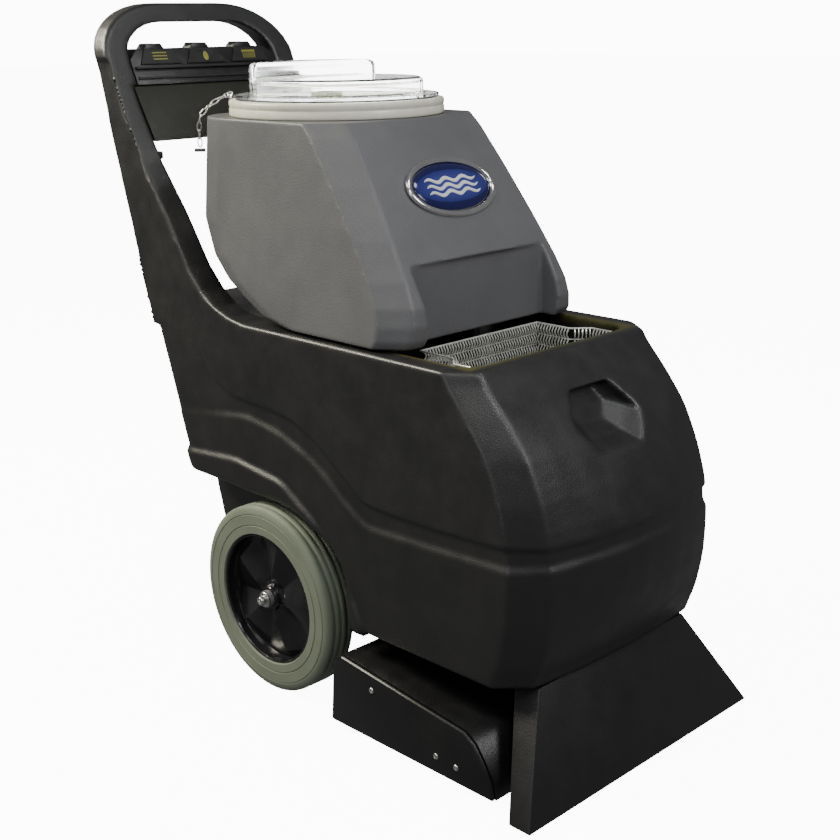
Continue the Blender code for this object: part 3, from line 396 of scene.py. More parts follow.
def normals_of(mesh):
    co = np.zeros(len(mesh.vertices) * 3, np.float32)
    mesh.vertices.foreach_get("normal", co)
    return co.reshape(-1, 3).astype(float)


def set_points(mesh, points):
    mesh.vertices.foreach_set("co", points.astype(np.float32).ravel())
    mesh.update()


def step(value, start, end):
    """0 before start, 1 after end, and a smooth rise between."""
    t = np.clip((value - start) / (end - start), 0, 1)
    return t * t * (3 - 2 * t)


# ---------------------------------------------------------------- tub
UPPER_CREASE = (
    (-0.600, 0.362), (-0.482, 0.365), (-0.357, 0.359), (-0.270, 0.358), (-0.211, 0.361), (-0.180, 0.385),
    (-0.110, 0.431), (-0.055, 0.452), (-0.006, 0.458), (0.087, 0.462), (0.136, 0.485), (0.202, 0.595),
    (0.258, 0.676), (0.316, 0.821), (0.380, 0.960),
)
LOWER_CREASE = (
    (-0.600, 0.332), (-0.486, 0.327), (-0.368, 0.322), (-0.269, 0.318), (-0.215, 0.317), (-0.163, 0.346),
    (-0.129, 0.373), (-0.086, 0.395), (-0.022, 0.417), (0.052, 0.426), (0.120, 0.418), (0.240, 0.400),
)
ARCH = (
    (-0.230, 0.080), (-0.208, 0.164), (-0.179, 0.217), (-0.110, 0.301), (-0.034, 0.347), (0.078, 0.359),
    (0.196, 0.349), (0.300, 0.340),
)


LINE_ROUNDING = (-0.012, -0.006, 0.0, 0.006, 0.012)  # a line's height is a mean over these steps in Y
SLOPE_STEP = 0.004


def line_height(table, y):
    """The height of a line of (y, z) points at y, with its corners rounded."""
    ys, zs = zip(*table)
    spread = [np.interp(y + shift, ys, zs) for shift in LINE_ROUNDING]
    return np.mean(spread, axis=0)


def above(table, y, z):
    """The distance above a line, measured square to it."""
    rise = line_height(table, y + SLOPE_STEP) - line_height(table, y - SLOPE_STEP)
    slope = rise / (2 * SLOPE_STEP)
    return (z - line_height(table, y)) / np.sqrt(1 + slope**2)


SIDE_HALF = 0.215  # half the tub's width at TAPER_FOOT, and how far each side draws in above it
SIDE_DRAW_IN = 0.020
TAPER_FOOT = 0.36
TAPER_RISE = 0.59
CORNER_FOOT = 0.955
CORNER_INSET = 0.065
CORNER_SPAN = (0.130, 0.089)
BACK_ROUNDING = 0.018
BACK_ROUND_FADE = (0.60, 0.68)  # the heights over which the rear round comes in
ARM_BACK = ((0.575, 0.309), (0.680, 0.348), (0.769, 0.378), (0.840, 0.402), (0.935, 0.429), (1.044, 0.478))
LIP_HEIGHT = 0.0065
LIP_EDGE = (-0.005, 0.007)  # the lip's slope, measured square to its line
LIP_FRONT = -0.215
BAND_SINK = 0.0045
BAND_TOP_EDGE = (-0.009, 0.0)
BAND_FOOT_EDGE = (-0.001, 0.014)
BAND_FADE_ALONG = (0.06, 0.20)  # the band grows shallow towards the arms
BAND_FADE_UP = (0.52, 0.60)
FAINT_BAND = 0.35
SKIN_DEPTH = 0.010  # only the outer skin is shaped, where it faces out
FACING_OUT = 0.35
FRONT_FACE = -0.40
FRONT_HALF = 0.2155
TUB_GRID, TUB_SMOOTHINGS = 0.0030, 16
TANK_GRID, TANK_SMOOTHINGS = 0.0026, 6


def round_arm_backs(points):
    """Turns the outer rear edge of the arms and of the handle loop into a broad round."""
    x, y, z = np.abs(points[:, 0]), points[:, 1] - AXLE_Y, points[:, 2]
    heights, backs = zip(*ARM_BACK)
    behind = np.interp(z, heights, backs) - y
    outward = np.clip((x - CORNER_INSET) / CORNER_SPAN[0], 0, None)
    upward = np.clip((z - CORNER_FOOT) / CORNER_SPAN[1], 0, None)
    reach = np.hypot(outward, upward)
    arm_side = SIDE_HALF - SIDE_DRAW_IN * (z - TAPER_FOOT) / TAPER_RISE
    beside = np.where(z > CORNER_FOOT, (1 - reach) * CORNER_SPAN[1], arm_side - x)
    radius = BACK_ROUNDING * step(z, *BACK_ROUND_FADE)
    short_back, short_side = radius - behind, radius - beside
    inside = (short_back > 0) & (short_side > 0)
    away = np.hypot(short_back, short_side)
    pull = np.where(inside & (away > radius), 1 - radius / np.maximum(away, 1e-6), 0)
    moved = points.copy()
    moved[:, 1] -= pull * short_back
    up = np.where(z > CORNER_FOOT, np.clip(upward / np.maximum(reach, 1e-6), 0, 1), 0)
    moved[:, 0] -= np.sign(points[:, 0]) * pull * short_side * np.sqrt(1 - up**2)
    moved[:, 2] -= pull * short_side * up
    return moved


def shape_tub(mesh):
    """Adds the creased band along the sides and front and the raised lip over each wheel."""
    points, normals = points_of(mesh), normals_of(mesh)
    x, y, z = points[:, 0], points[:, 1] - AXLE_Y, points[:, 2]
    half = SIDE_HALF - SIDE_DRAW_IN * np.clip((z - TAPER_FOOT) / TAPER_RISE, 0, 1)
    outer_side = (np.abs(x) > half - SKIN_DEPTH) & (np.abs(normals[:, 0]) > FACING_OUT)
    front = (y < FRONT_FACE) & (normals[:, 1] < -FACING_OUT) & (np.abs(x) < FRONT_HALF)
    skin = (outer_side | front).astype(float)
    over, under = above(UPPER_CREASE, y, z), above(LOWER_CREASE, y, z)
    band = (1 - step(over, *BAND_TOP_EDGE)) * step(under, *BAND_FOOT_EDGE)
    fade = 1 - step(y, *BAND_FADE_ALONG) * (1 - step(z, *BAND_FADE_UP))
    lip = (1 - step(above(ARCH, y, z), *LIP_EDGE)) * outer_side * (y > LIP_FRONT)
    depth = LIP_HEIGHT * lip - BAND_SINK * band * (FAINT_BAND + (1 - FAINT_BAND) * fade)
    moved = points + normals * (depth * skin)[:, None]
    set_points(mesh, round_arm_backs(moved))


def make_tub():
    mesh = remeshed("body_shell", TUB_GRID, TUB_SMOOTHINGS)
    shape_tub(mesh)
    new_piece("tub", mesh, "body", "machine", ["body_shell"], smooth=60)


def make_recovery_tank():
    mesh = remeshed("recovery_tank", TANK_GRID, TANK_SMOOTHINGS)
    new_piece("grey_tank", mesh, "tank", "tank", ["recovery_tank"], smooth=60)


def mesh_of(name, form):
    bmesh.ops.recalc_face_normals(form, faces=form.faces)
    mesh = bpy.data.meshes.new(name)
    form.to_mesh(mesh)
    form.free()
    return mesh


def add_skin(form, rings, joined=False):
    """A skin through rings of points, joined end to end or capped at both ends."""
    rows = [[form.verts.new(point) for point in ring] for ring in rings]
    pairs = list(zip(rows, rows[1:]))
    if joined:
        pairs.append((rows[-1], rows[0]))
    else:
        form.faces.new(rows[0])
        form.faces.new(rows[-1])
    for lower, upper in pairs:
        for i in range(len(lower)):
            j = (i + 1) % len(lower)
            form.faces.new((lower[i], lower[j], upper[j], upper[i]))


def add_tube(form, path, radius, reference, sides, closed=False):
    """A round wire along a path that never runs along the reference direction."""
    path = [Vector(point) for point in path]
    count = len(path)
    rings = []
    for i, point in enumerate(path):
        before = path[i - 1] if closed or i else point
        after = path[(i + 1) % count] if closed or i < count - 1 else point
        along = (after - before).normalized()
        across = along.cross(reference).normalized()
        upward = across.cross(along)
        ring = []
        for k in range(sides):
            angle = math.tau * k / sides
            ring.append(point + across * (radius * math.cos(angle)) + upward * (radius * math.sin(angle)))
        rings.append(ring)
    add_skin(form, rings, closed)


FLAT_ANGLE = math.radians(1)
EDGE_ANGLE = math.radians(28)


def softened(name, node, material, body, slot, width, segments=2):
    """A CAD node's shape with its sharp edges rounded over."""
    form = bmesh.new()
    form.from_mesh(welded_copy(node))
    bmesh.ops.dissolve_limit(form, angle_limit=FLAT_ANGLE, verts=form.verts, edges=form.edges)
    mesh = bpy.data.meshes.new(name)
    form.to_mesh(mesh)
    form.free()
    helper = bpy.data.objects.new("bevel_helper", mesh)
    bpy.context.scene.collection.objects.link(helper)
    edge = helper.modifiers.new("Edges", "BEVEL")
    edge.width = width
    edge.segments = segments
    edge.limit_method = "ANGLE"
    edge.angle_limit = EDGE_ANGLE
    bpy.context.view_layer.update()
    rounded = evaluated(helper)
    bpy.data.objects.remove(helper)
    return new_piece(name, rounded, material, body, [node], smooth=45)


def middle_of(node):
    low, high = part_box(node)
    return Vector([(a + b) / 2 for a, b in zip(low, high)])


def spun(name, rows, place, steps, joined=True):
    """Rings of (radius, offset) rows, put in space by place(radius, offset, angle)."""
    form = bmesh.new()
    rings = [[place(*row, math.tau * k / steps) for k in range(steps)] for row in rows]
    add_skin(form, rings, joined)
    return mesh_of(name, form)


# ---------------------------------------------------------------- wheels
# Outlines are (radius, offset outward along the axle). A rim row's third value is how much a rib lifts it.
TYRE_RIBS = (-0.0180, -0.0062, 0.0062, 0.0180)
RIB_OUTLINE = ((0.1478, 0.0052), (0.1496, 0.0038), (0.1500, 0.0), (0.1496, -0.0038), (0.1478, -0.0052))
TYRE_SIDE = (
    (0.1046, 0.0240), (0.1060, 0.0262), (0.1180, 0.0268), (0.1186, 0.0260),
    (0.1196, 0.0260), (0.1202, 0.0268), (0.1350, 0.0268), (0.1356, 0.0260),
    (0.1364, 0.0260), (0.1370, 0.0266), (0.1440, 0.0258), (0.1472, 0.0238),
)
RIM_ROWS = (
    (0.0140, 0.0190, 0), (0.0175, 0.0190, 0), (0.0190, 0.0175, 0), (0.0210, 0.0120, 0),
    (0.0260, 0.0080, 0.6), (0.0380, 0.0070, 1), (0.0500, 0.0060, 1), (0.0640, 0.0050, 1),
    (0.0780, 0.0040, 1), (0.0880, 0.0035, 0.9), (0.0940, 0.0035, 0.6), (0.0975, 0.0050, 0.2),
    (0.0995, 0.0110, 0), (0.1005, 0.0215, 0), (0.1015, 0.0235, 0), (0.1030, 0.0240, 0),
    (0.1042, 0.0232, 0), (0.1042, -0.0220, 0), (0.1020, -0.0230, 0), (0.0980, -0.0230, 0),
    (0.0900, -0.0090, 0), (0.0400, -0.0060, 0), (0.0240, -0.0100, 0), (0.0215, -0.0225, 0),
    (0.0140, -0.0225, 0),
)
AXLE_END = (
    (0.0125, -0.0018), (0.0125, -0.0004), (0.0118, 0.0004), (0.0072, 0.0006), (0.0070, 0.0080),
    (0.0060, 0.0092), (0.0032, 0.0092), (0.0028, 0.0078), (0.0002, 0.0076),
)
AXLE_HEIGHT = 0.150
TYRE_STEPS, RIM_STEPS, AXLE_STEPS = 144, 150, 40
RIM_RIBS = 5
RIB_TURN = 0.55  # the angle of the first rib's crest
RIB_HALF_ANGLE = math.pi / RIM_RIBS
RIB_HEIGHT = 0.0125


def tyre_rows():
    """The tyre's outline: grooved sides, and a tread of four ribs round the middle."""
    tread = []
    for rib in reversed(TYRE_RIBS):
        tread += [(radius, rib + aside) for radius, aside in RIB_OUTLINE]
    inner = [(radius, -offset) for radius, offset in reversed(TYRE_SIDE)]
    return list(TYRE_SIDE) + tread[1:-1] + inner


def rib_share(angle):
    """How much of a rim rib stands at an angle: 1 on its crest, 0 between ribs."""
    pitch = math.tau / RIM_RIBS
    away = abs((angle - RIB_TURN + pitch / 2) % pitch - pitch / 2)
    return max(0.0, 1 - away / RIB_HALF_ANGLE)


def make_wheel(side, word):
    """A ribbed tyre on a dished rim with broad ribs."""
    centre = middle_of("tyre_" + word)

    def on_wheel(radius, offset, angle):
        return centre + Vector((side * offset, radius * math.cos(angle), radius * math.sin(angle)))

    def on_rim(radius, offset, share, angle):
        return on_wheel(radius, offset + RIB_HEIGHT * share * rib_share(angle), angle)

    body = "wheel_" + word
    tyre = spun("ribbed_tyre_" + word, tyre_rows(), on_wheel, TYRE_STEPS)
    new_piece("ribbed_tyre_" + word, tyre, "tyre", body, ["tyre_" + word], smooth=50)
    rim = spun("ribbed_rim_" + word, RIM_ROWS, on_rim, RIM_STEPS)
    new_piece("ribbed_rim_" + word, rim, "rim", body, ["wheel_rim_" + word], smooth=14)
    make_axle_end(side, word)


def make_axle_end(side, word):
    """The washer that holds the wheel on, and the drilled end of the axle through it."""
    low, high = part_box("axle_washer_" + word)
    face = low[0] if side < 0 else high[0]

    def on_axle(radius, offset, angle):
        along, up = radius * math.cos(angle), radius * math.sin(angle)
        return Vector((face + side * offset, AXLE_Y + along, AXLE_HEIGHT + up))

    name = "axle_end_" + word
    end = spun(name, AXLE_END, on_axle, AXLE_STEPS, joined=False)
    new_piece(name, end, "steel", "machine", ["axle_nut_" + word, "axle_washer_" + word], smooth=40)


# ---------------------------------------------------------------- lid, ring, badge and chain
RING_ROWS = (
    (0.1400, 0.0000), (0.1640, 0.0000), (0.1655, 0.0012), (0.1659, 0.0035), (0.1659, 0.0105),
    (0.1648, 0.0122), (0.1646, 0.0134), (0.1657, 0.0150), (0.1659, 0.0205), (0.1648, 0.0230),
    (0.1620, 0.0239), (0.1440, 0.0239), (0.1412, 0.0228), (0.1400, 0.0200),
)
RING_STEPS = 144
LID_GRID, LID_SMOOTHINGS = 0.0014, 5


def make_lid():
    """The grooved cream ring round the tank's mouth, and the clear two-step lid on it."""
    low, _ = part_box("lid_ring")
    centre = middle_of("lid_ring")

    def on_ring(radius, offset, angle):
        across, along = radius * math.cos(angle), radius * math.sin(angle)
        return Vector((centre.x + across, centre.y + along, low[2] + offset))

    ring = spun("lid_seat", RING_ROWS, on_ring, RING_STEPS)
    new_piece("lid_seat", ring, "ring", "tank", ["lid_ring"], smooth=60)
    cover = remeshed("lid_dome", LID_GRID, LID_SMOOTHINGS)
    new_piece("lid_cover", cover, "clear", "lid", ["lid_dome"], smooth=70)


BADGE_TILT = math.atan2(0.048, 0.070)
BADGE_FOOT = 0.0025  # how far the ring's middle stands out from its foot
# Each oval of the badge is (half its width, half its height, lift from the ring's foot).
BADGE_RING = (
    (0.0885, 0.0485, 0.0000), (0.0883, 0.0483, 0.0026), (0.0870, 0.0470, 0.0044),
    (0.0848, 0.0450, 0.0050), (0.0815, 0.0420, 0.0048), (0.0795, 0.0402, 0.0036),
    (0.0785, 0.0392, 0.0016), (0.0775, 0.0384, 0.0000),
)
BADGE_PLATE = (
    (0.0760, 0.0370, -0.0010), (0.0760, 0.0370, 0.0016), (0.0745, 0.0355, 0.0026),
    (0.0600, 0.0280, 0.0032), (0.0300, 0.0140, 0.0036), (0.0010, 0.0005, 0.0037),
)
BADGE_RING_STEPS, BADGE_PLATE_STEPS = 120, 96
EMBLEM_HALF = 0.052
EMBLEM_WAVES = (-0.0105, 0.0, 0.0105)
EMBLEM_STEPS = 48
EMBLEM_PERIODS = 3
EMBLEM_SWING = 0.0030
EMBLEM_STROKE = 0.0032
EMBLEM_FOOT, EMBLEM_TOP = 0.0032, 0.0044
EMBLEM_BEVEL = 0.8


def on_badge(across, up, lift):
    """A point on the sloped badge, from the middle of its ring's foot."""
    outward = Vector((0, -math.cos(BADGE_TILT), math.sin(BADGE_TILT)))
    upward = Vector((0, math.sin(BADGE_TILT), math.cos(BADGE_TILT)))
    foot = middle_of("badge_ring") - outward * BADGE_FOOT
    return foot + Vector((across, 0, 0)) + upward * up + outward * lift


def on_oval(half, rise, lift, angle):
    return on_badge(half * math.cos(angle), rise * math.sin(angle), lift)


def make_badge():
    """A chrome ring round a domed blue plate."""
    ring = spun("badge_rim", BADGE_RING, on_oval, BADGE_RING_STEPS)
    new_piece("badge_rim", ring, "chrome", "tank", ["badge_ring"], smooth=60)
    plate = spun("badge_face", BADGE_PLATE, on_oval, BADGE_PLATE_STEPS, joined=False)
    new_piece("badge_face", plate, "enamel", "tank", ["badge_plate"], smooth=60)


def make_emblem():
    """A plain emblem of three waves that taper at both ends."""
    form = bmesh.new()
    for height in EMBLEM_WAVES:
        rings = []
        for i in range(EMBLEM_STEPS + 1):
            across = EMBLEM_HALF * (2 * i / EMBLEM_STEPS - 1)
            up = height + EMBLEM_SWING * math.sin(math.tau * EMBLEM_PERIODS * i / EMBLEM_STEPS)
            half = EMBLEM_STROKE * math.sqrt(max(0.02, 1 - (across / EMBLEM_HALF) ** 4))
            crest = half * EMBLEM_BEVEL
            edges = ((-half, EMBLEM_FOOT), (half, EMBLEM_FOOT), (crest, EMBLEM_TOP), (-crest, EMBLEM_TOP))
            rings.append([on_badge(across, up + rise, lift) for rise, lift in edges])
        add_skin(form, rings)
    new_piece("badge_emblem", mesh_of("badge_emblem", form), "emblem", "tank", smooth=40)


CHAIN_LINE = (
    (-0.1185, 0.2210, 0.9045), (-0.1280, 0.2285, 0.8995), (-0.1375, 0.2340, 0.8930),
    (-0.1460, 0.2390, 0.8855), (-0.1525, 0.2435, 0.8775), (-0.1560, 0.2470, 0.8670),
    (-0.1570, 0.2480, 0.8550), (-0.1570, 0.2480, 0.8290),
)
CHAIN_END_GAP = 0.0005
CHAIN_FACING = Vector((0.66, -0.75, 0))
LINK_HALF = 0.0072
LINK_WIDTH = 0.0031
LINK_WIRE = 0.0010
LINK_PITCH = 0.0118
LINK_POINTS = 20
LINK_SQUARENESS = 0.7  # 1 makes an ellipse, and less makes straighter sides


def along_line(points, distance):
    """The point and direction at a distance along a line of straight runs."""
    places = [Vector(point) for point in points]
    for start, end in zip(places, places[1:]):
        run = (end - start).length
        if distance <= run:
            break
        distance -= run
    direction = (end - start).normalized()
    return start + direction * distance, direction


def make_chain():
    """Oval wire links, each turned a quarter from the last, from the stud to its eye behind the tank."""
    length = sum((Vector(b) - Vector(a)).length for a, b in zip(CHAIN_LINE, CHAIN_LINE[1:]))
    form = bmesh.new()
    for i in range(int(length / LINK_PITCH) + 1):
        place, along = along_line(CHAIN_LINE, min(LINK_PITCH * i, length - CHAIN_END_GAP))
        sideways = along.cross(CHAIN_FACING).normalized()
        across = sideways if i % 2 else along.cross(sideways).normalized()
        path = []
        for k in range(LINK_POINTS):
            angle = math.tau * k / LINK_POINTS
            bend = math.copysign(abs(math.cos(angle)) ** LINK_SQUARENESS, math.cos(angle))
            path.append(place + along * (LINK_HALF * bend) + across * (LINK_WIDTH * math.sin(angle)))
        add_tube(form, path, LINK_WIRE, along.cross(across), 8, closed=True)
    links = mesh_of("chain_links", form)
    new_piece("chain_links", links, "steel", "tank", ["lid_chain"], smooth=60)


# ---------------------------------------------------------------- strainer basket
BASKET_BACK_HALF = 0.127
BASKET_SHOULDER = -0.305
BASKET_FLOOR = 0.001  # the wires' lower ends, above the basket's foot
BASKET_RIM = 0.002  # the rim's middle, below the basket's top
WIRE_RADIUS = 0.0011
WIRE_PITCH = 0.0056
WIRE_POINTS = 36
BAND_HEIGHT = 0.0165
BAND_DEPTH = 0.0042
RING_WIRE_SHARE = 0.7
RIM_RADIUS = 0.0015
WIRE_INSET, RIM_INSET = 0.0040, 0.0020
TRAY_OUTER_INSET, TRAY_INNER_INSET = 0.0004, 0.0034
TRAY_WALL, TRAY_FLOOR = 0.004, 0.0006


def basket_plan(inset):
    """The basket's T-shaped plan, wide in front and narrower between the tank's front corners."""
    low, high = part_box("strainer_basket")
    half, back_half = high[0] - inset, BASKET_BACK_HALF - inset
    shoulder = BASKET_SHOULDER + AXLE_Y - inset
    front, back = low[1] + inset, high[1] - inset
    lean = half - back_half
    right = [(half, front), (half, shoulder - lean), (back_half, shoulder), (back_half, back)]
    return right + [(-x, y) for x, y in reversed(right)]


def basket_heights():
    """The heights of the basket's floor and of its rim."""
    low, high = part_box("strainer_basket")
    return low[2] + BASKET_FLOOR, high[2] - BASKET_RIM


def upright_wire(foot, inward, floor, top):
    """A wire's path up a wall, swelling inward once for each rolled band."""
    path = []
    for i in range(WIRE_POINTS):
        z = floor + (top - floor) * i / (WIRE_POINTS - 1)
        swell = BAND_DEPTH * (0.5 - 0.5 * math.cos(math.tau * (z - floor) / BAND_HEIGHT))
        path.append(foot + inward * swell + Vector((0, 0, z)))
    return path


def make_basket_wires():
    """Walls of fine upright wires that swell in rolled bands, tied by a ring at each band."""
    floor, top = basket_heights()
    form = bmesh.new()
    plan = basket_plan(WIRE_INSET)
    for (ax, ay), (bx, by) in zip(plan, plan[1:] + plan[:1]):
        run = math.hypot(bx - ax, by - ay)
        inward = Vector((-(by - ay) / run, (bx - ax) / run, 0))
        along_wall = Vector((ax - bx, ay - by, 0)).normalized()
        for k in range(max(1, int(run / WIRE_PITCH))):
            share = (k + 0.5) * WIRE_PITCH / run
            foot = Vector((ax + (bx - ax) * share, ay + (by - ay) * share, 0))
            add_tube(form, upright_wire(foot, inward, floor, top), WIRE_RADIUS, along_wall, 5)
    for level in range(1, int((top - floor) / BAND_HEIGHT) + 1):
        ring = [(x, y, floor + level * BAND_HEIGHT) for x, y in plan]
        add_tube(form, ring, WIRE_RADIUS * RING_WIRE_SHARE, Vector((0, 0, 1)), 6, closed=True)
    wires = mesh_of("basket_wires", form)
    new_piece("basket_wires", wires, "wire", "basket", ["strainer_basket"], smooth=60)


def make_basket_frame():
    """The basket's round rim and its shallow pressed floor."""
    floor, top = basket_heights()
    form = bmesh.new()
    rim = [(x, y, top) for x, y in basket_plan(RIM_INSET)]
    add_tube(form, rim, RIM_RADIUS, Vector((0, 0, 1)), 10, closed=True)
    outer, inner = basket_plan(TRAY_OUTER_INSET), basket_plan(TRAY_INNER_INSET)
    tray = (
        (outer, floor - BASKET_FLOOR), (outer, floor + TRAY_WALL),
        (inner, floor + TRAY_WALL), (inner, floor + TRAY_FLOOR),
    )
    add_skin(form, [[(x, y, z) for x, y in line] for line, z in tray])
    new_piece("basket_frame", mesh_of("basket_frame", form), "wire", "basket", smooth=40)


# ---------------------------------------------------------------- console
LABEL_SLOPE = 0.45
LABEL_X = (-0.092, 0.0, 0.092)
BOSS_LOW, BOSS_HIGH = 0.9475, 0.9700
BOSS_FOOT_HALF, BOSS_TOP_HALF = 0.040, 0.027
BOSS_DEPTH = 0.0030
LEDGES = ((0.9405, 0.0060), (0.9245, 0.0040))  # each ledge's height and depth
LEDGE_RISE = 0.0030
LEDGE_END_GAP = 0.004
SURFACE_GAP = 0.0002
PRINT_GAP, PRINT_DEPTH = 0.0033, 0.0004
WING_RISE, WING_DRAW_IN = 0.012, 0.38


def rectangle(left, right, low, high):
    return [(left, low), (right, low), (right, high), (left, high)]


def console_front(z):
    """The front of the switch housing, which leans back as it rises."""
    low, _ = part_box("switch_housing")
    return low[1] + LABEL_SLOPE * (z - low[2])


def add_prism(form, outline, front, depth):
    """An outline of (x, z) points standing out from the housing's front by front + depth."""
    rows = []
    for lift in (front, front + depth):
        rows.append([(x, console_front(z) - lift, z) for x, z in outline])
    add_skin(form, rows)


def make_console():
    """The panel between the arms, and the switch housing with its label bosses and ledges."""
    softened("console_face", "console_panel", "panel", "machine", "body_black", 0.005, 3)
    softened("console_housing", "switch_housing", "switch", "machine", "body_black", 0.0025)
    form = bmesh.new()
    for x in LABEL_X:
        foot = [(x - BOSS_FOOT_HALF, BOSS_LOW), (x + BOSS_FOOT_HALF, BOSS_LOW)]
        top = [(x + BOSS_TOP_HALF, BOSS_HIGH), (x - BOSS_TOP_HALF, BOSS_HIGH)]
        add_prism(form, foot + top, SURFACE_GAP, BOSS_DEPTH)
    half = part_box("switch_housing")[1][0] - LEDGE_END_GAP
    for z, depth in LEDGES:
        add_prism(form, rectangle(-half, half, z, z + LEDGE_RISE), SURFACE_GAP, depth)
    bosses = mesh_of("label_bosses", form)
    new_piece("label_bosses", bosses, "switch", "machine", smooth=30)


def make_rockers():
    for word in ("suction", "spray", "brush"):
        node = "rocker_" + word
        rocker = softened("wide_" + node, node, "switch", node, "switch_black", 0.0016)
        draw_in_wings(rocker.data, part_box(node))


def draw_in_wings(mesh, box):
    """Narrows a rocker towards its top, so that its two wings are trapezoids."""
    points = points_of(mesh)
    centre, top = (box[0][0] + box[1][0]) / 2, box[1][2]
    rise = step(points[:, 2], top - WING_RISE, top)
    points[:, 0] = centre + (points[:, 0] - centre) * (1 - WING_DRAW_IN * rise)
    set_points(mesh, points)


def three_bars(x, height):
    for k in range(3):
        z = height + 0.006 - 0.005 * k
        yield rectangle(x - 0.014, x + 0.014, z - 0.001, z + 0.001)


def water_drop(x, height):
    drop = []
    for k in range(16):
        angle = math.tau * k / 16
        reach = 0.0052 * (1 - 0.45 * max(0.0, math.sin(angle)) ** 3)
        drop.append((x + reach * math.cos(angle), height - 0.001 + 0.0075 * math.sin(angle)))
    yield drop


def brush_strip(x, height):
    for k in range(7):
        bristle = x - 0.012 + 0.004 * k
        yield rectangle(bristle - 0.0008, bristle + 0.0008, height - 0.007, height + 0.002)
    yield rectangle(x - 0.014, x + 0.014, height + 0.003, height + 0.0065)


def make_pictograms():
    """Three bars, a drop, and a bar over a row of bristles, printed in dull yellow under the switches."""
    form = bmesh.new()
    height = (BOSS_LOW + BOSS_HIGH) / 2
    for x, outlines_of in zip(LABEL_X, (three_bars, water_drop, brush_strip)):
        for outline in outlines_of(x, height):
            add_prism(form, outline, PRINT_GAP, PRINT_DEPTH)
    prints = mesh_of("label_prints", form)
    new_piece("label_prints", prints, "print", "machine", smooth=40)


# ---------------------------------------------------------------- brush head and shoe
END_SCREWS = ((-0.256, 0.092), (-0.385, 0.039), (-0.423, 0.037))
SCREW_ROWS = (  # (radius, lift) from the recess in the head to its foot
    (0.0006, 0.0008), (0.0018, 0.0008), (0.0022, 0.0019),
    (0.0036, 0.0016), (0.0045, 0.0008), (0.0047, -0.0006),
)
SCREW_STEPS = 20


def make_screws(side, word):
    """Round-headed screws that hold an end plate to the brush housing."""
    low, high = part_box("end_plate_" + word)
    face = low[0] if side < 0 else high[0]
    form = bmesh.new()
    for y, z in END_SCREWS:
        rings = []
        for radius, lift in SCREW_ROWS:
            ring = []
            for k in range(SCREW_STEPS):
                angle = math.tau * k / SCREW_STEPS
                along, up = radius * math.cos(angle), radius * math.sin(angle)
                ring.append((face + side * lift, AXLE_Y + y + along, z + up))
            rings.append(ring)
        add_skin(form, rings)
    name = "end_screws_" + word
    new_piece(name, mesh_of(name, form), "steel", "brush_head", smooth=40)


# Each row is a piece's name, its CAD node, look, body and slot, and the width of its rounded edges.
SOFTENED = (
    ("head_cover", "brush_housing", "head", "brush_head", "body_black", 0.0018),
    ("head_end_left", "end_plate_left", "head", "brush_head", "body_black", 0.0020),
    ("head_end_right", "end_plate_right", "head", "brush_head", "body_black", 0.0020),
    ("suction_shoe", "vacuum_shoe", "shoe", "machine", "body_black", 0.0018),
    ("winding_hook_left", "cord_hook_left", "body", "machine", "body_black", 0.0030),
    ("winding_hook_right", "cord_hook_right", "body", "machine", "body_black", 0.0030),
    ("stud", "chain_stud", "chrome", "tank", "chrome", 0.0015),
    ("chain_eye", "chain_hook", "tank", "tank", "steel", 0.0010),
    ("valve_body", "drain_valve", "hose", "tank", "hose_grey", 0.0020),
    ("valve_lever", "drain_lever", "hose", "drain_lever", "hose_grey", 0.0014),
    ("inlet_gland", "power_inlet", "switch", "machine", "switch_black", 0.0010),
    ("tray_pan", "chassis_tray", "steel", "machine", "steel", 0.0010),
    ("cage_cup", "float_cage", "cage", "tank", "hose_grey", 0.0010),
)


# ---------------------------------------------------------------- studio
def aim(obj, target):
    direction = Vector(target) - obj.location
    obj.rotation_euler = direction.to_track_quat("-Z", "Y").to_euler()


def area_light(name, place, target, size, power, colour):
    data = bpy.data.lights.new(name, "AREA")
    data.shape = "RECTANGLE"
    data.size, data.size_y = size
    data.energy = power
    data.color = colour
    lamp = bpy.data.objects.new(name, data)
    lamp.location = place
    bpy.context.scene.collection.objects.link(lamp)
    aim(lamp, target)


CAMERA_ANGLES = (-44.638, 16.596, -0.745)  # turn, lift and roll, in degrees
CAMERA_PLACE = (-1.4117, -1.5007, 1.0126)
CAMERA_LENS = 57.66
CAMERA_SENSOR = 36


def make_camera():
    """A camera at about the handle's height, off the machine's front left corner."""
    turn, lift, roll = (math.radians(angle) for angle in CAMERA_ANGLES)
    right = Vector((math.cos(turn), math.sin(turn), 0))
    up = Vector((-math.sin(turn) * math.sin(lift), math.cos(turn) * math.sin(lift), math.cos(lift)))
    back = Vector((math.sin(turn) * math.cos(lift), -math.cos(turn) * math.cos(lift), math.sin(lift)))
    across = right * math.cos(roll) + up * math.sin(roll)
    upward = up * math.cos(roll) - right * math.sin(roll)
    data = bpy.data.cameras.new("camera")
    data.sensor_width = CAMERA_SENSOR
    data.lens = CAMERA_LENS
    camera = bpy.data.objects.new("camera", data)
    axes = Matrix((across, upward, back)).transposed().to_4x4()
    camera.matrix_world = Matrix.Translation(CAMERA_PLACE) @ axes
    bpy.context.scene.collection.objects.link(camera)
    bpy.context.scene.camera = camera


FLOOR_HALF = 30
FLOOR_GLOW = 11.0
WORLD_SEEN = 12.0  # the world's strength to the camera and through clear plastic
WORLD_LIGHT = 0.17  # and its strength as a light


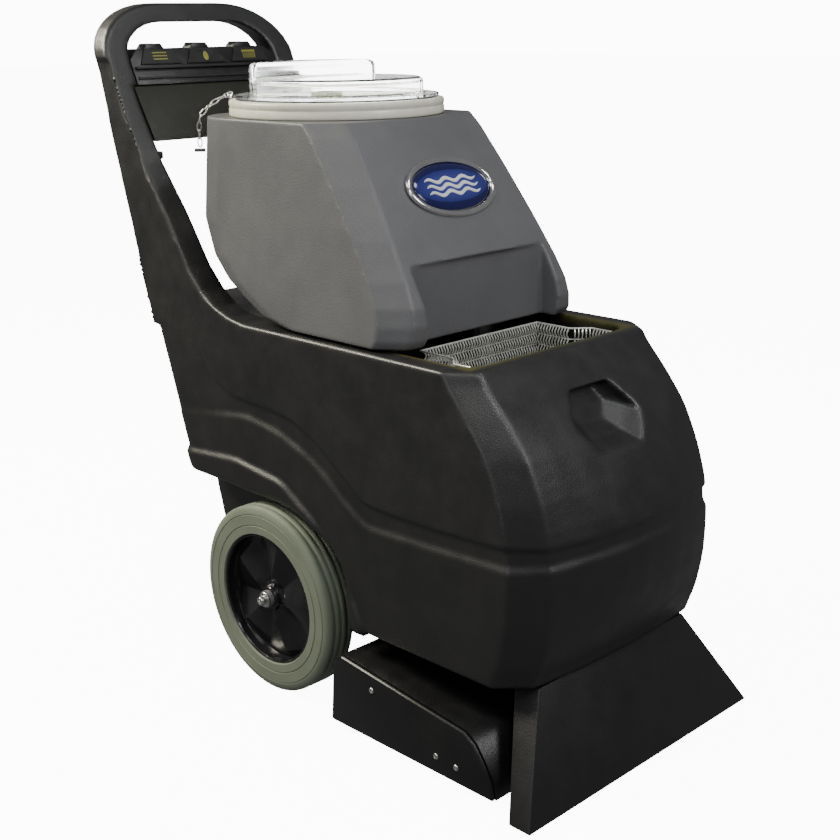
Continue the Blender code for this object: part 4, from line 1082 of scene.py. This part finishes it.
def make_floor():
    """A plain white floor, bright enough of itself to run into the white background."""
    form = bmesh.new()
    bmesh.ops.create_grid(form, x_segments=1, y_segments=1, size=FLOOR_HALF)
    mesh = mesh_of("floor", form)
    floor = bpy.data.objects.new("floor", mesh)
    bpy.context.scene.collection.objects.link(floor)
    shader = Shader("floor_paint", (0.90, 0.90, 0.90), 0.9)
    shader.feed("Roughness", shader.spread(shader.noise(3.0), 0.85, 0.95))
    shader.surface.inputs["Emission Color"].default_value = (1, 1, 1, 1)
    shader.surface.inputs["Emission Strength"].default_value = FLOOR_GLOW
    mesh.materials.append(shader.material)
    floor.visible_glossy = False
    floor.visible_diffuse = False


def make_world():
    """White to the eye and through clear plastic, and dim as a light."""
    world = bpy.data.worlds.new("studio")
    world.use_nodes = True
    nodes, links = world.node_tree.nodes, world.node_tree.links
    rays = nodes.new("ShaderNodeLightPath")
    seen = nodes.new("ShaderNodeMath")
    seen.operation = "MAXIMUM"
    links.new(rays.outputs["Is Camera Ray"], seen.inputs[0])
    links.new(rays.outputs["Is Transmission Ray"], seen.inputs[1])
    strength = nodes.new("ShaderNodeMapRange")
    strength.inputs["To Min"].default_value = WORLD_LIGHT
    strength.inputs["To Max"].default_value = WORLD_SEEN
    links.new(seen.outputs["Value"], strength.inputs["Value"])
    links.new(strength.outputs["Result"], nodes["Background"].inputs["Strength"])
    nodes["Background"].inputs["Color"].default_value = (1, 1, 1, 1)
    bpy.context.scene.world = world


# Each lamp's name, place, target, size, power in watts and colour.
LAMPS = (
    ("key", (0.35, -2.5, 2.2), (0, -0.25, 0.45), (0.9, 0.9), 25, (1, 1, 1)),
    ("chamfer_sheen", (-1.05, -1.75, 2.75), (0, -0.40, 0.5), (0.4, 0.4), 17, (0.97, 0.99, 1.0)),
    ("left_fill", (-2.6, -0.6, 1.3), (0, 0, 0.5), (1.2, 1.2), 8, (0.94, 0.97, 1.0)),
    ("top_left", (-1.25, -0.10, 2.8), (-0.1, 0.2, 0.8), (0.8, 0.8), 10, (1.0, 0.98, 0.90)),
    ("back_rim", (-1.3, 1.8, 2.3), (0, 0.1, 0.7), (1.2, 0.8), 115, (1.0, 0.95, 0.78)),
    ("basket_light", (0.5, -0.9, 2.6), (0, -0.25, 0.55), (0.4, 0.4), 8, (1, 1, 1)),
)


def make_studio():
    make_floor()
    make_world()
    for lamp in LAMPS:
        area_light(*lamp)


make_camera()
make_studio()
dress_cad_nodes()
make_tub()
make_recovery_tank()
for side, word in SIDES:
    make_wheel(side, word)
    make_screws(side, word)
make_lid()
make_badge()
make_emblem()
make_chain()
make_basket_wires()
make_basket_frame()
make_console()
make_pictograms()
make_rockers()
for row in SOFTENED:
    softened(*row)
